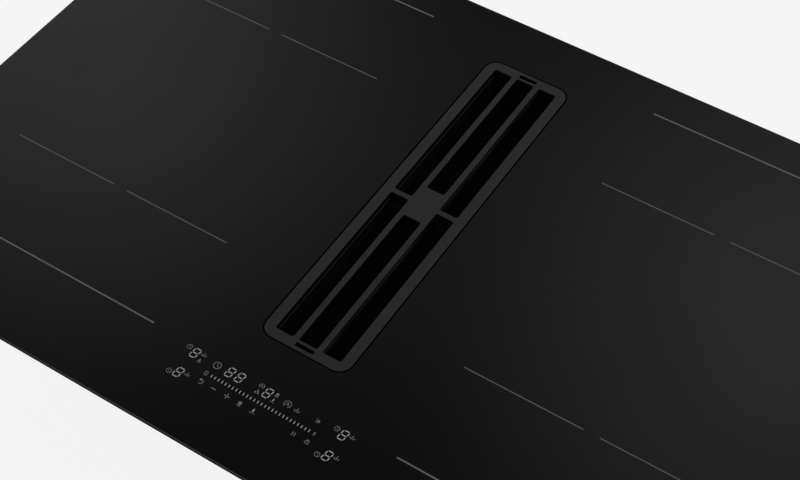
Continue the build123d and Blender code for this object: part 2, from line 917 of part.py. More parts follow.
spacer_places = []
for side, hand in ((-1, "left"), (1, "right")):
    board_at = (side * power_board_x, power_board_y)
    spacer_places += corner_places(board_at, power_board_width, power_board_length, spacer_margin)
    with BuildPart() as power_board:
        plate((power_board_width, power_board_length), 0, board_bottom, board_top, board_at)
        # along the outer edge: smoothing capacitors, the choke and two relays
        line_x = side * (power_board_x + parts_line_x)
        capacitor_pitch = 3 * capacitor_radius
        first_y = power_board_y - power_board_length / 2 + capacitor_pitch
        capacitor_places = [(line_x, first_y), (line_x, first_y + capacitor_pitch)]
        disc(capacitor_radius, board_top, board_top + capacitor_height, capacitor_places)
        choke_at = (line_x, power_board_y)
        plate((choke_size, choke_size), 0, board_top, board_top + choke_height, choke_at)
        for row in (2, 4):
            relay_at = (line_x, power_board_y + row * relay_size)
            plate((relay_size, relay_size), 0, board_top, board_top + relay_height, relay_at)
        # beside the heat sink: resonance capacitors
        for row in range(-2, 2):
            film_at = (side * power_board_x, power_board_y + (row + 0.5) * 1.2 * film_length)
            plate((film_width, film_length), 0, board_top, board_top + film_height, film_at)
    keep(power_board, f"power_board_{hand}")

with BuildPart() as heat_sinks:
    sink_top = board_top + sink_height
    for side in (-1, 1):
        sink_at = (side * sink_x, sink_y)
        plate((sink_width, sink_length), 0, board_top, sink_top, sink_at)
        sink_gap = (sink_width - sink_fins * sink_fin) / (sink_fins - 1)
        with BuildSketch(Plane.XY.offset(board_top + sink_base)) as channels:
            with Locations(sink_at):
                with GridLocations(sink_gap + sink_fin, 0, sink_fins - 1, 1):
                    Rectangle(sink_gap, sink_length)
        extrude(channels.sketch, amount=sink_height, mode=Mode.SUBTRACT)
keep(heat_sinks, "heat_sinks")

filter_board_at = (filter_board_x, filter_board_y)
spacer_places += corner_places(
    filter_board_at, filter_board_width, filter_board_length, spacer_margin
)
with BuildPart() as filter_board:
    plate((filter_board_width, filter_board_length), 0, board_bottom, board_top, filter_board_at)
    quarter = filter_board_width / 4
    disc(choke_size / 2, board_top, board_top + choke_height, [(filter_board_x + quarter, filter_board_y)])
    for row in (-1, 0, 1):
        film_at = (filter_board_x - quarter, filter_board_y + row * 2 * film_width)
        plate((film_length, film_width), 0, board_top, board_top + film_height, film_at)
keep(filter_board, "filter_board")

with BuildPart() as board_spacers:
    hexagons(spacer_radius, tray_floor, board_bottom, spacer_places)
keep(board_spacers, "board_spacers")

# ---- Cooling fans ----

cooler_top = tray_floor + cooler_height
cooler_tip = cooler_bore - blade_tip_gap
cooler_seat = tray_floor + cooler_floor
for side, hand in ((-1, "left"), (1, "right")):
    cooler_at = (side * cooler_x, cooler_y)
    with BuildPart() as cooling_fan_frame:
        plate((cooler_size, cooler_size), 0, tray_floor, cooler_top, cooler_at)
        disc(cooler_bore, tray_floor, cooler_top, [cooler_at], Mode.SUBTRACT)
        # spider that carries the bush
        disc(cooler_hub, tray_floor, cooler_seat, [cooler_at])
        for turn in (45, 135, 225, 315):
            with BuildSketch(Plane.XY.offset(tray_floor)) as strut:
                with Locations(Location((cooler_at[0], cooler_at[1], 0), (0, 0, turn))):
                    strut_reach = cooler_bore + cooler_strut / 2
                    with Locations((strut_reach / 2, 0)):
                        Rectangle(strut_reach, cooler_strut)
            extrude(strut.sketch, amount=cooler_floor)
        disc(cooler_shaft + running_play, tray_floor, cooler_seat, [cooler_at], Mode.SUBTRACT)
    keep(cooling_fan_frame, f"cooling_fan_frame_{hand}")

    with BuildPart() as cooling_fan_rotor:
        rotor_base = cooler_seat + hub_gap
        rotor_crest = cooler_top - cooler_rim
        disc(cooler_hub, rotor_base, rotor_crest, [cooler_at])
        disc(cooler_shaft, tray_floor + shaft_recess, rotor_base, [cooler_at])
        with Locations(Location((cooler_at[0], cooler_at[1], (rotor_base + rotor_crest) / 2))):
            blade_span = cooler_tip - cooler_hub
            with PolarLocations(cooler_hub + blade_span / 2 - cooler_rim, cooler_blades):
                Box(blade_span, blade_chord, blade_sheet, rotation=(blade_pitch, 0, 0))
    keep(cooling_fan_rotor, f"cooling_fan_rotor_{hand}")

# ---- Mains connection ----

terminal_at = (terminal_x, terminal_y)
with BuildPart() as terminal_block:
    terminal_top = tray_floor + terminal_height
    plate((terminal_width, terminal_length), 0, tray_floor, terminal_top, terminal_at)
    chamber_pitch = terminal_length / terminal_ways
    with BuildSketch(Plane.XY.offset(terminal_top)) as chambers:
        with Locations(terminal_at):
            with GridLocations(0, chamber_pitch, 1, terminal_ways):
                Rectangle(terminal_width - 2 * chamber_border, chamber_pitch - chamber_border)
    extrude(chambers.sketch, amount=-terminal_height / 2, mode=Mode.SUBTRACT)
keep(terminal_block, "terminal_block")

with BuildPart() as terminal_cover:
    hood_inner = (terminal_width + 2 * hood_play, terminal_length + 2 * hood_play)
    hood_outer = (hood_inner[0] + 2 * hood_wall, hood_inner[1] + 2 * hood_wall)
    hood_inside = terminal_top + hood_play
    plate(hood_outer, 0, tray_floor, hood_inside + hood_wall, terminal_at)
    plate(hood_inner, 0, tray_floor, hood_inside, terminal_at, Mode.SUBTRACT)
    # mouth for the wires, towards the gland
    mouth_back = terminal_y + hood_outer[1] / 2
    block(
        (terminal_x - hood_mouth / 2, terminal_x + hood_mouth / 2),
        (mouth_back - 2 * hood_wall, mouth_back),
        (tray_floor, tray_floor + terminal_height / 2),
        Mode.SUBTRACT,
    )
keep(terminal_cover, "terminal_cover")

with BuildPart() as cable_gland:
    # a nut above the floor and a hexagon below it, on a round body
    disc(gland_thread, tray_bottom - gland_length, tray_floor, [gland_at])
    hexagons(gland_nut, tray_floor, tray_floor + gland_nut_height, [gland_at])
    hexagons(gland_nut, tray_bottom - gland_length / 3, tray_bottom, [gland_at])
    disc(
        gland_bore,
        tray_bottom - gland_length,
        tray_floor + gland_nut_height,
        [gland_at],
        Mode.SUBTRACT,
    )
keep(cable_gland, "cable_gland")

# ---- Touch-control unit ----

panel_bottom = glass_bottom - panel_height
panel_at = (panel_x, panel_y)
display_top = glass_bottom - display_gap
row_y = (display_row_y, display_row_y - display_row_pitch)
side_display = [(sign * display_reach, y) for sign in (-1, 1) for y in row_y]
with BuildPart() as display_modules:
    for display_at in side_display + [(fan_figure_x, display_row_y)]:
        plate((display_width, display_length), 0, panel_bottom, display_top, display_at)
    timer_at = (timer_x, display_row_y)
    plate((timer_width, display_length), 0, panel_bottom, display_top, timer_at)
keep(display_modules, "display_modules")

with BuildPart() as ui_frame:
    plate((panel_width, panel_length), panel_corner, panel_bottom, glass_bottom, panel_at)
    window = (display_width + 2 * display_gap, display_length + 2 * display_gap)
    for display_at in side_display + [(fan_figure_x, display_row_y)]:
        plate(window, 0, panel_bottom, glass_bottom, display_at, Mode.SUBTRACT)
    timer_window = (timer_width + 2 * display_gap, window[1])
    plate(timer_window, 0, panel_bottom, glass_bottom, timer_at, Mode.SUBTRACT)
keep(ui_frame, "ui_frame")

with BuildPart() as ui_board:
    ui_bottom = panel_bottom - board_thickness
    ui_board_size = (panel_width - 2 * board_inset, panel_length - 2 * board_inset)
    plate(ui_board_size, 0, ui_bottom, panel_bottom, panel_at)
    # controller chip and the plug of the ribbon
    chip_at = (panel_x - chip_size, panel_y)
    plate((chip_size, chip_size), 0, ui_bottom - chip_height, ui_bottom, chip_at)
    plug_at = (panel_x + panel_width / 4, panel_y)
    plate((plug_length, plug_height), 0, ui_bottom - plug_height, ui_bottom, plug_at)
keep(ui_board, "ui_board")

# ---- Blower and plenum ----

pan_screw_line = pan_flange / 2
fan_part_back = outlet_y - pan_flange


def plan_outline(grow, level):
    """The L-shaped outline of pan and deck: a leg under the intake and a wide part under the fan."""
    with BuildSketch(Plane.XY.offset(level)) as outline:
        leg_middle = ((pan_left + pan_leg) / 2, (pan_front + pan_back) / 2)
        with Locations(leg_middle):
            Rectangle(pan_leg - pan_left, pan_back - pan_front)
        fan_middle = ((pan_left + pan_right) / 2, (pan_front + fan_part_back) / 2)
        with Locations(fan_middle):
            Rectangle(pan_right - pan_left, fan_part_back - pan_front)
        fillet(outline.vertices(), radius=pan_corner)
        if grow != 0:
            offset(amount=grow)
    return outline.sketch


def scroll_outline(grow, level):
    """The scroll's outline: three quarter arcs that widen step by step, then a straight outlet."""
    first = scroll_first + grow
    right = scroll_right + grow
    left = scroll_left - grow
    with BuildSketch(Plane.XY.offset(level)) as outline:
        with BuildLine():
            tongue_turn = acos((left - scroll_centres[0][0]) / first)
            tongue = (left, scroll_centres[0][1] + first * sin(tongue_turn))
            CenterArc(scroll_centres[0], first, degrees(tongue_turn), 180 - degrees(tongue_turn))
            CenterArc(scroll_centres[1], first + scroll_step, 180, 90)
            CenterArc(scroll_centres[2], first + 2 * scroll_step, 270, 90)
            Polyline((right, scroll_centres[2][1]), (right, outlet_y), (left, outlet_y), tongue)
        make_face()
    return outline.sketch


pan_screw_places = [
    (pan_left - pan_screw_line, pan_front / 2),
    (pan_left - pan_screw_line, pan_back / 2),
    ((pan_left + pan_leg) / 2, pan_back + pan_screw_line),
    (pan_right + pan_screw_line, pan_front / 2),
    (pan_right + pan_screw_line, fan_part_back / 2),
    ((pan_leg + pan_right) / 2, fan_part_back + pan_screw_line),
    ((pan_leg + pan_right) / 2, pan_front - pan_screw_line),
]
funnel_foot = (
    well_width + 2 * funnel_wall - 2 * funnel_taper_x,
    well_length + 2 * funnel_wall - 2 * funnel_taper_y,
)
outlet_outer_left = scroll_left - scroll_wall
outlet_outer_right = scroll_right + scroll_wall
ear_levels = (deck_top + outlet_height / 4, deck_top + 3 * outlet_height / 4)
outlet_edges = ((-1, outlet_outer_left), (1, outlet_outer_right))


def ear_screw_places():
    """Places of the screws that hold the duct connection, with their heads to the back."""
    places = []
    for side, edge in outlet_edges:
        for level in ear_levels:
            place = (edge + side * outlet_ear / 2, outlet_y + ear_thickness, level)
            places.append(Location(place, (-90, 0, 0)))
    return places


with BuildPart() as plenum_pan:
    extrude(plan_outline(0, base_level), amount=deck_bottom - base_level)
    bottom_edges = plenum_pan.faces().sort_by(Axis.Z)[0].edges()
    chamfer(bottom_edges, length=pan_edge)
    flange_level = deck_bottom - pan_flange_thickness
    extrude(plan_outline(pan_flange, flange_level), amount=pan_flange_thickness)
    inside = plan_outline(-pan_wall, pan_floor)
    extrude(inside, amount=deck_bottom - pan_floor, mode=Mode.SUBTRACT)
    # runners of the spill drawer
    for side in (-1, 1):
        inner_x = side * (drawer_width / 2 + drawer_play)
        outer_x = inner_x + side * runner_width
        block(
            (min(inner_x, outer_x), max(inner_x, outer_x)),
            (pan_front + pan_wall, pan_back - drawer_back_gap - pan_wall),
            (pan_floor, pan_floor + runner_height),
        )
    # window for the drawer
    window_half = drawer_width / 2 + drawer_window_play
    window_top = pan_floor + drawer_play + drawer_height + drawer_window_play
    block(
        (-window_half, window_half),
        (pan_front, pan_front + pan_wall),
        (pan_floor, window_top),
        Mode.SUBTRACT,
    )
keep(plenum_pan, "plenum_pan")

with BuildPart() as spill_tray:
    drawer_bottom = pan_floor + drawer_play
    drawer_top = drawer_bottom + drawer_height
    drawer_start = pan_front - drawer_play
    drawer_end = pan_back - pan_wall - drawer_back_gap
    drawer_length = drawer_end - drawer_start
    drawer_at = (0.0, (drawer_start + drawer_end) / 2)
    plate((drawer_width, drawer_length), drawer_corner, drawer_bottom, drawer_top, drawer_at)
    chamfer(spill_tray.faces().sort_by(Axis.Z)[0].edges(), length=drawer_wall / 2)
    plate(
        (drawer_width - 2 * drawer_wall, drawer_length - 2 * drawer_wall),
        drawer_corner - drawer_wall,
        drawer_bottom + drawer_wall,
        drawer_top,
        drawer_at,
        Mode.SUBTRACT,
    )
    # front panel and its finger grip
    panel_low = base_level + drawer_wall / 2
    with BuildSketch(Plane.XZ.offset(-drawer_start)) as panel:
        with Locations((0, panel_low + drawer_front_height / 2)):
            RectangleRounded(drawer_front_width, drawer_front_height, drawer_corner)
    extrude(panel.sketch, amount=drawer_front_thickness)
    grip_level = panel_low + drawer_front_height - drawer_corner
    grip_start = drawer_start - drawer_front_thickness
    with BuildSketch(Plane.XY.offset(grip_level)) as grip:
        with BuildLine():
            half = drawer_grip_width / 2
            Line((-half, grip_start), (half, grip_start))
            ThreePointArc((half, grip_start), (0, grip_start - drawer_grip_reach), (-half, grip_start))
        make_face()
    extrude(grip.sketch, amount=drawer_front_thickness)
keep(spill_tray, "spill_tray")

with BuildPart() as intake_duct:
    funnel_top = tray_bottom - funnel_flange_thickness
    well_outer = (well_width + 2 * funnel_wall, well_length + 2 * funnel_wall)
    flange_outer = (well_width + 2 * funnel_reach, well_length + 2 * funnel_reach)
    plate(flange_outer, well_outer_corner + funnel_flange, funnel_top, tray_bottom, intake_at)
    with BuildSketch(Plane.XY.offset(funnel_top)) as top_outline:
        with Locations(intake_at):
            RectangleRounded(well_outer[0], well_outer[1], well_outer_corner)
    with BuildSketch(Plane.XY.offset(deck_top)) as foot_outline:
        with Locations(intake_at):
            RectangleRounded(funnel_foot[0], funnel_foot[1], well_outer_corner)
    loft([foot_outline.sketch.face(), top_outline.sketch.face()])
    tail_bottom = deck_bottom - funnel_tail
    plate(funnel_foot, well_outer_corner, tail_bottom, deck_top, intake_at)
    # the bore follows the same taper
    with BuildSketch(Plane.XY.offset(tray_bottom)) as top_bore:
        with Locations(intake_at):
            RectangleRounded(well_width, well_length, well_corner)
    with BuildSketch(Plane.XY.offset(deck_top)) as foot_bore:
        with Locations(intake_at):
            bore_foot = (funnel_foot[0] - 2 * funnel_wall, funnel_foot[1] - 2 * funnel_wall)
            RectangleRounded(bore_foot[0], bore_foot[1], well_corner)
    loft([foot_bore.sketch.face(), top_bore.sketch.face()], mode=Mode.SUBTRACT)
    plate(bore_foot, well_corner, tail_bottom, deck_top, intake_at, Mode.SUBTRACT)
keep(intake_duct, "intake_duct")

with BuildPart() as scroll_casing:
    extrude(plan_outline(pan_flange, deck_bottom), amount=deck_thickness)
    extrude(scroll_outline(scroll_wall, deck_top), amount=outlet_height)
    lip_level = scroll_top - scroll_flange_thickness
    extrude(scroll_outline(scroll_flange, lip_level), amount=scroll_flange_thickness)
    for side, edge in outlet_edges:
        ear_limits = (min(edge, edge + side * outlet_ear), max(edge, edge + side * outlet_ear))
        block(ear_limits, (outlet_y - ear_thickness, outlet_y), (deck_top, scroll_top))
    extrude(scroll_outline(0, deck_top), amount=outlet_height, mode=Mode.SUBTRACT)
    deck_hole = inlet_radius + inlet_flare + inlet_play
    disc(deck_hole, deck_bottom, deck_top, [fan_at], Mode.SUBTRACT)
    deck_mouth = (funnel_foot[0] + 2 * funnel_play, funnel_foot[1] + 2 * funnel_play)
    mouth_corner = well_outer_corner + funnel_play
    plate(deck_mouth, mouth_corner, deck_bottom, deck_top, intake_at, Mode.SUBTRACT)
keep(scroll_casing, "scroll_casing")

damper_places = []
for turn in (90, 210, 330):
    damper_x = fan_x + damper_circle * cos(radians(turn))
    damper_places.append((damper_x, fan_y + damper_circle * sin(radians(turn))))

with BuildPart() as scroll_cover:
    extrude(scroll_outline(scroll_flange, scroll_top), amount=lid_thickness)
keep(scroll_cover, "scroll_cover")

with BuildPart() as inlet_ring:
    # flared mouth, turned about the fan's axis, with its flange under the deck
    with BuildSketch(Plane.XZ.offset(-fan_y)):
        with BuildLine():
            flange_low = deck_bottom - inlet_wall
            throat_top = deck_top + inlet_rise
            throat = fan_x + inlet_radius
            Polyline(
                (throat, throat_top),
                (throat, flange_low + inlet_flare),
                (throat + inlet_flare, flange_low),
                (fan_x + inlet_flange, flange_low),
                (fan_x + inlet_flange, deck_bottom),
                (throat + inlet_flare, deck_bottom),
                (throat + inlet_wall, flange_low + inlet_flare),
                (throat + inlet_wall, throat_top),
                close=True,
            )
        make_face()
    revolve(axis=Axis((fan_x, fan_y, 0), (0, 0, 1)))
keep(inlet_ring, "inlet_ring")

fan_top = scroll_top - fan_top_gap
fan_bottom = deck_top + fan_floor_gap
hat_floor = fan_top - hat_depth
with BuildPart() as impeller:
    # disc and hat, turned about the axis
    with BuildSketch(Plane.XZ.offset(-fan_y)):
        with BuildLine():
            fan_rim = fan_x + fan_radius + fan_margin
            Polyline(
                (fan_x, hat_floor),
                (fan_x + hat_foot, hat_floor),
                (fan_x + hat_radius, fan_top),
                (fan_rim, fan_top),
                (fan_rim, fan_top - fan_disc),
                (fan_x + hat_radius + fan_disc, fan_top - fan_disc),
                (fan_x + hat_foot + fan_disc, hat_floor - fan_disc),
                (fan_x, hat_floor - fan_disc),
                close=True,
            )
        make_face()
    revolve(axis=Axis((fan_x, fan_y, 0), (0, 0, 1)))
    # forward-curved blades between the disc and the lower ring
    with BuildSketch(Plane.XY) as blade:
        with BuildLine():
            blade_turn = degrees(fan_blade_sheet / fan_radius)
            middle_radius = (fan_inner_radius + fan_radius) / 2
            root = Vector(fan_inner_radius, 0)
            belly = Vector(middle_radius, -fan_blade_bow).rotate(Axis.Z, fan_blade_lead / 2)
            tip = Vector(fan_radius, 0).rotate(Axis.Z, fan_blade_lead)
            front = [root, belly, tip]
            back = [point.rotate(Axis.Z, blade_turn) for point in reversed(front)]
            Polyline(*front, *back, close=True)
        make_face()
    with BuildSketch(Plane.XY.offset(fan_bottom)) as blade_row:
        with Locations(fan_at):
            with PolarLocations(0, fan_blades):
                add(blade.sketch)
    extrude(blade_row.sketch, amount=fan_top - fan_disc / 2 - fan_bottom)
    disc(fan_radius + fan_margin, fan_bottom, fan_bottom + fan_ring_height, [fan_at])
    disc(fan_inner_radius, fan_bottom, fan_bottom + fan_ring_height, [fan_at], Mode.SUBTRACT)
keep(impeller, "impeller")

mount_bottom = scroll_top - damper_height - mount_sheet
core_top = mount_bottom - core_drop
core_bottom = core_top - core_height
tube_bottom = core_bottom - tube_drop
bearing_seat = bearing_radius + running_play

with BuildPart() as motor_dampers:
    disc(damper_radius, scroll_top - damper_height, scroll_top, damper_places)
keep(motor_dampers, "motor_dampers")

with BuildPart() as motor_stator:
    # six-sided mounting plate with corners over the rubber mounts
    with BuildSketch(Plane.XY.offset(mount_bottom)) as mount_plate:
        with Locations(fan_at):
            RegularPolygon(mount_radius, 6, rotation=30)
    extrude(mount_plate.sketch, amount=mount_sheet)
    disc(bearing_radius + tube_wall, tube_bottom, mount_bottom, [fan_at])
    disc(core_radius, core_bottom, core_top, [fan_at])
    with BuildSketch(Plane.XY.offset(core_bottom)) as slots:
        with Locations(fan_at):
            with PolarLocations(core_radius, core_slots):
                Rectangle(2 * core_slot_depth, core_slot_width)
    extrude(slots.sketch, amount=core_height, mode=Mode.SUBTRACT)
    disc(bearing_seat, tube_bottom, mount_bottom, [fan_at], Mode.SUBTRACT)
keep(motor_stator, "motor_stator")

with BuildPart() as motor_bearings:
    for low in (tube_bottom, mount_bottom - bearing_height):
        disc(bearing_radius, low, low + bearing_height, [fan_at])
        disc(shaft_radius + running_play, low, low + bearing_height, [fan_at], Mode.SUBTRACT)
keep(motor_bearings, "motor_bearings")

with BuildPart() as motor_rotor:
    rotor_lip = mount_bottom - rotor_top
    disc(rotor_radius, hat_floor, rotor_lip, [fan_at])
    disc(rotor_radius - rotor_wall, hat_floor + rotor_wall, rotor_lip, [fan_at], Mode.SUBTRACT)
    disc(shaft_radius, hat_floor + rotor_wall, mount_bottom - shaft_drop, [fan_at])
keep(motor_rotor, "motor_rotor")

motor_screw_places = [Location((x, y, mount_bottom), (180, 0, 0)) for x, y in damper_places]
make_screws("motor_screws", motor_screw_places)

fan_screw_places = [Location((x, y, tray_floor)) for x, y in scroll_screw_places()]
make_screws("fan_screws", fan_screw_places)

housing_screw_places = [Location((x, y, flange_level), (180, 0, 0)) for x, y in pan_screw_places]
housing_screw_places += [Location((x, y, tray_floor)) for x, y in funnel_screw_places]
housing_screw_places += ear_screw_places()
make_screws("housing_screws", housing_screw_places)

# ---- Duct connection ----

flap_y = outlet_y + flap_inset
flap_level = scroll_top - flap_drop
pin_hole = pin_radius + running_play
pin_place = Location(((scroll_left + scroll_right) / 2, flap_y, flap_level), (0, 90, 0))
with BuildPart() as outlet_spigot:
    outer_x = (scroll_left - spigot_wall, scroll_right + spigot_wall)
    outer_z = (deck_top - spigot_wall, scroll_top + spigot_wall)
    block(outer_x, (outlet_y, spigot_end), outer_z)
    chamfer(outlet_spigot.faces().sort_by(Axis.Y)[-1].edges(), length=spigot_wall / 2)
    ear_x = (outlet_outer_left - outlet_ear, outlet_outer_right + outlet_ear)
    block(ear_x, (outlet_y, outlet_y + ear_thickness), outer_z)
    block((scroll_left, scroll_right), (outlet_y, spigot_end), (deck_top, scroll_top), Mode.SUBTRACT)
    # rebate that the flap closes against
    stop_y = flap_y + flap_offset - flap_gap
    stop_top = flap_level - 2 * knuckle_radius
    stop_range = (stop_y - flap_stop_depth, stop_y)
    block((scroll_left, scroll_left + flap_stop), stop_range, (deck_top, stop_top))
    block((scroll_right - flap_stop, scroll_right), stop_range, (deck_top, stop_top))
    block((scroll_left, scroll_right), stop_range, (deck_top, deck_top + flap_stop))
    with Locations(pin_place):
        Cylinder(pin_hole, outlet_width + 4 * spigot_wall, mode=Mode.SUBTRACT)
keep(outlet_spigot, "outlet_spigot")

with BuildPart() as backdraft_flap:
    leaf_x = (scroll_left + flap_margin, scroll_right - flap_margin)
    leaf_y = (flap_y + flap_offset, flap_y + flap_offset + flap_sheet)
    block(leaf_x, leaf_y, (deck_top + flap_margin, flap_level))
    for knuckle_x in (scroll_left + knuckle_length, scroll_right - knuckle_length):
        with Locations(Location((knuckle_x, flap_y, flap_level), (0, 90, 0))):
            Cylinder(knuckle_radius, knuckle_length)
    with Locations(pin_place):
        Cylinder(pin_hole, outlet_width, mode=Mode.SUBTRACT)
keep(backdraft_flap, "backdraft_flap")

with BuildPart() as flap_pin:
    pin_length = outlet_width + 2 * spigot_wall
    with Locations(pin_place):
        Cylinder(pin_radius, pin_length)
keep(flap_pin, "flap_pin")
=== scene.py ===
import bpy
import bmesh
import json
from math import cos, pi, radians, sin, tan
from mathutils import Matrix, Vector


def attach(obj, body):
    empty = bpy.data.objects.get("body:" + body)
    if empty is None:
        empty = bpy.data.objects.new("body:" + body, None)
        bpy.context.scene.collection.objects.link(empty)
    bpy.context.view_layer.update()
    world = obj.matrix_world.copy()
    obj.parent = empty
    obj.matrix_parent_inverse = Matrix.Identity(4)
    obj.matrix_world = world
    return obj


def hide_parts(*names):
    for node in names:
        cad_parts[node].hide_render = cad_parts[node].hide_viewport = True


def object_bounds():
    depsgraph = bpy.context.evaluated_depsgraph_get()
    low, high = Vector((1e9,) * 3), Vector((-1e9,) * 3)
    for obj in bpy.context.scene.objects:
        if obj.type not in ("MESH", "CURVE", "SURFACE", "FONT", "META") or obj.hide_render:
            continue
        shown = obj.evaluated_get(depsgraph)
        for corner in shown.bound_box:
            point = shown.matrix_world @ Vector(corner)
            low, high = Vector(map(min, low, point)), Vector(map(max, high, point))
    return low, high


# Looks of a black glass induction cooktop with a slotted intake grille in its middle.
# Sizes are in millimetres, and a finished mesh is scaled to metres once, in addPiece.

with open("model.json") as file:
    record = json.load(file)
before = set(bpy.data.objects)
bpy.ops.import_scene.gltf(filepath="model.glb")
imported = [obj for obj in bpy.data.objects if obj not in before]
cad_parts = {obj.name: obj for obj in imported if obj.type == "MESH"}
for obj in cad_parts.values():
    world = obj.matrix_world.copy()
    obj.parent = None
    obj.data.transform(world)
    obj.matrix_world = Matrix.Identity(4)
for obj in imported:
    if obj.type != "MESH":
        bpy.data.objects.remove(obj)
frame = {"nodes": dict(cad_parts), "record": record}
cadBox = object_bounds()
mm = 0.001
print("frame loaded with", len(frame["nodes"]), "nodes")


# camera, floor and light
camera = {
    "place": (445.47, -709.13, 1017.34),
    "right": (0.84164, 0.54003, 0.00401),      # where the picture's right and top point
    "up": (-0.42076, 0.65108, 0.63171),
    "lens": 73.006,
    "sensor": 36.0,
}


def addCamera():
    data = bpy.data.cameras.new("camera")
    data.lens = camera["lens"]
    data.sensor_width = camera["sensor"]
    eye = bpy.data.objects.new("camera", data)
    bpy.context.scene.collection.objects.link(eye)
    right = Vector(camera["right"]).normalized()
    up = Vector(camera["up"]).normalized()
    turn = Matrix((right, up, right.cross(up))).transposed()
    eye.matrix_world = Matrix.Translation(Vector(camera["place"]) * mm) @ turn.to_4x4()
    bpy.context.scene.camera = eye


studio = {
    "backgroundGrey": 0.92,
    "floorReach": 12.0,
    "floorGrey": 0.86,
    "floorGap": 0.5,            # millimetres between the floor and the lowest piece
    "floorOwnLight": 0.95,      # share of the floor's look that isn't lit by the lamps
    "roomLight": 0.55,          # plain level on every surface
    "wallLight": 0.8,           # what polished parts see near the horizon
    "wallFade": (0.22, 0.52),   # heights, as shares of a direction, between which it ends
    # soft boxes that only reflections see: direction, sharpness, strength
    "softBoxes": (
        ((-0.5426, 0.4969, 0.6772), 69.5, 0.514),
        ((-0.1090, 0.6136, 0.7821), 65.9, 0.461),
        ((0.7071, 0.4100, 0.5760), 24.0, 0.55),
        ((0.5000, -0.7000, 0.5100), 24.0, 0.60),
        ((-0.3400, -0.7700, 0.5300), 30.0, 1.60),
        ((-0.7600, -0.3900, 0.5200), 24.0, 0.45),
    ),
    # lamps: place, power in watts, size
    "lamps": (
        ((-0.5, 1.0, 1.1), 8.5, 1.1),
        ((1.5, 0.6, 1.3), 8.0, 1.2),
        ((0.3, -1.9, 1.6), 6.0, 1.6),
    ),
}


def nodeOf(tree, kind, **facts):
    made = tree.nodes.new(kind)
    for fact, value in facts.items():
        setattr(made, fact, value)
    return made


def mathOf(tree, operation, first, second=0.0):
    made = nodeOf(tree, "ShaderNodeMath", operation=operation)
    for socket, source in zip(made.inputs, (first, second)):
        if isinstance(source, (int, float)):
            socket.default_value = source
        else:
            tree.links.new(source, socket)
    return made.outputs["Value"]


def axesOf(tree, vector):
    # the X, Y and Z outputs of a vector
    split = nodeOf(tree, "ShaderNodeSeparateXYZ")
    tree.links.new(vector, split.inputs[0])
    return split.outputs


def softBox(tree, direction, box):
    # one soft-edged lamp panel, seen only in reflections
    towards, sharpness, strength = box
    facing = nodeOf(tree, "ShaderNodeVectorMath", operation="DOT_PRODUCT")
    tree.links.new(direction, facing.inputs[0])
    facing.inputs[1].default_value = Vector(towards).normalized()
    front = mathOf(tree, "MAXIMUM", facing.outputs["Value"], 0.0)
    return mathOf(tree, "MULTIPLY", mathOf(tree, "POWER", front, sharpness), strength)


def addWorld():
    world = bpy.data.worlds.new("studio")
    world.use_nodes = True
    bpy.context.scene.world = world
    tree = world.node_tree
    tree.nodes.clear()
    direction = nodeOf(tree, "ShaderNodeTexCoord").outputs["Generated"]
    rays = nodeOf(tree, "ShaderNodeLightPath")
    horizon = nodeOf(tree, "ShaderNodeMapRange", interpolation_type="SMOOTHSTEP")
    tree.links.new(axesOf(tree, direction)["Z"], horizon.inputs["Value"])
    horizon.inputs["From Min"].default_value = studio["wallFade"][0]
    horizon.inputs["From Max"].default_value = studio["wallFade"][1]
    horizon.inputs["To Min"].default_value = studio["wallLight"]
    horizon.inputs["To Max"].default_value = 0.0
    seen = horizon.outputs["Result"]
    for box in studio["softBoxes"]:
        seen = mathOf(tree, "ADD", seen, softBox(tree, direction, box))
    glossy = mathOf(tree, "MULTIPLY", seen, rays.outputs["Is Glossy Ray"])
    plain = mathOf(tree, "SUBTRACT", 1.0, rays.outputs["Is Glossy Ray"])
    lit = mathOf(tree, "MULTIPLY", plain, studio["roomLight"])
    behind = nodeOf(tree, "ShaderNodeMix", data_type="FLOAT")
    tree.links.new(rays.outputs["Is Camera Ray"], behind.inputs["Factor"])
    tree.links.new(mathOf(tree, "ADD", glossy, lit), behind.inputs[2])
    behind.inputs[3].default_value = studio["backgroundGrey"]
    shine = nodeOf(tree, "ShaderNodeBackground")
    tree.links.new(behind.outputs[0], shine.inputs["Strength"])
    out = nodeOf(tree, "ShaderNodeOutputWorld")
    tree.links.new(shine.outputs[0], out.inputs["Surface"])
    shine.inputs["Color"].default_value = (1, 1, 1, 1)


def addLamps():
    for index, (place, power, size) in enumerate(studio["lamps"]):
        data = bpy.data.lights.new("lamp_%d" % index, "AREA")
        data.energy = power
        data.size = size
        lamp = bpy.data.objects.new("lamp_%d" % index, data)
        lamp.location = place
        lamp.rotation_euler = (-Vector(place)).to_track_quat("-Z", "Y").to_euler()
        lamp.visible_glossy = False      # the soft boxes of the world stand for them there
        bpy.context.scene.collection.objects.link(lamp)


def floorMaterial():
    material = bpy.data.materials.new("pale_floor")
    material.use_nodes = True
    tree = material.node_tree
    tree.nodes.clear()
    rays = nodeOf(tree, "ShaderNodeLightPath")
    matt = nodeOf(tree, "ShaderNodeBsdfDiffuse")
    matt.inputs["Color"].default_value = (*[studio["floorGrey"]] * 3, 1)
    own = nodeOf(tree, "ShaderNodeEmission")
    own.inputs["Strength"].default_value = studio["backgroundGrey"]
    share = mathOf(tree, "MULTIPLY", rays.outputs["Is Camera Ray"], studio["floorOwnLight"])
    blend = nodeOf(tree, "ShaderNodeMixShader")
    tree.links.new(share, blend.inputs["Fac"])
    tree.links.new(matt.outputs[0], blend.inputs[1])
    tree.links.new(own.outputs[0], blend.inputs[2])
    out = nodeOf(tree, "ShaderNodeOutputMaterial")
    tree.links.new(blend.outputs[0], out.inputs["Surface"])
    return material


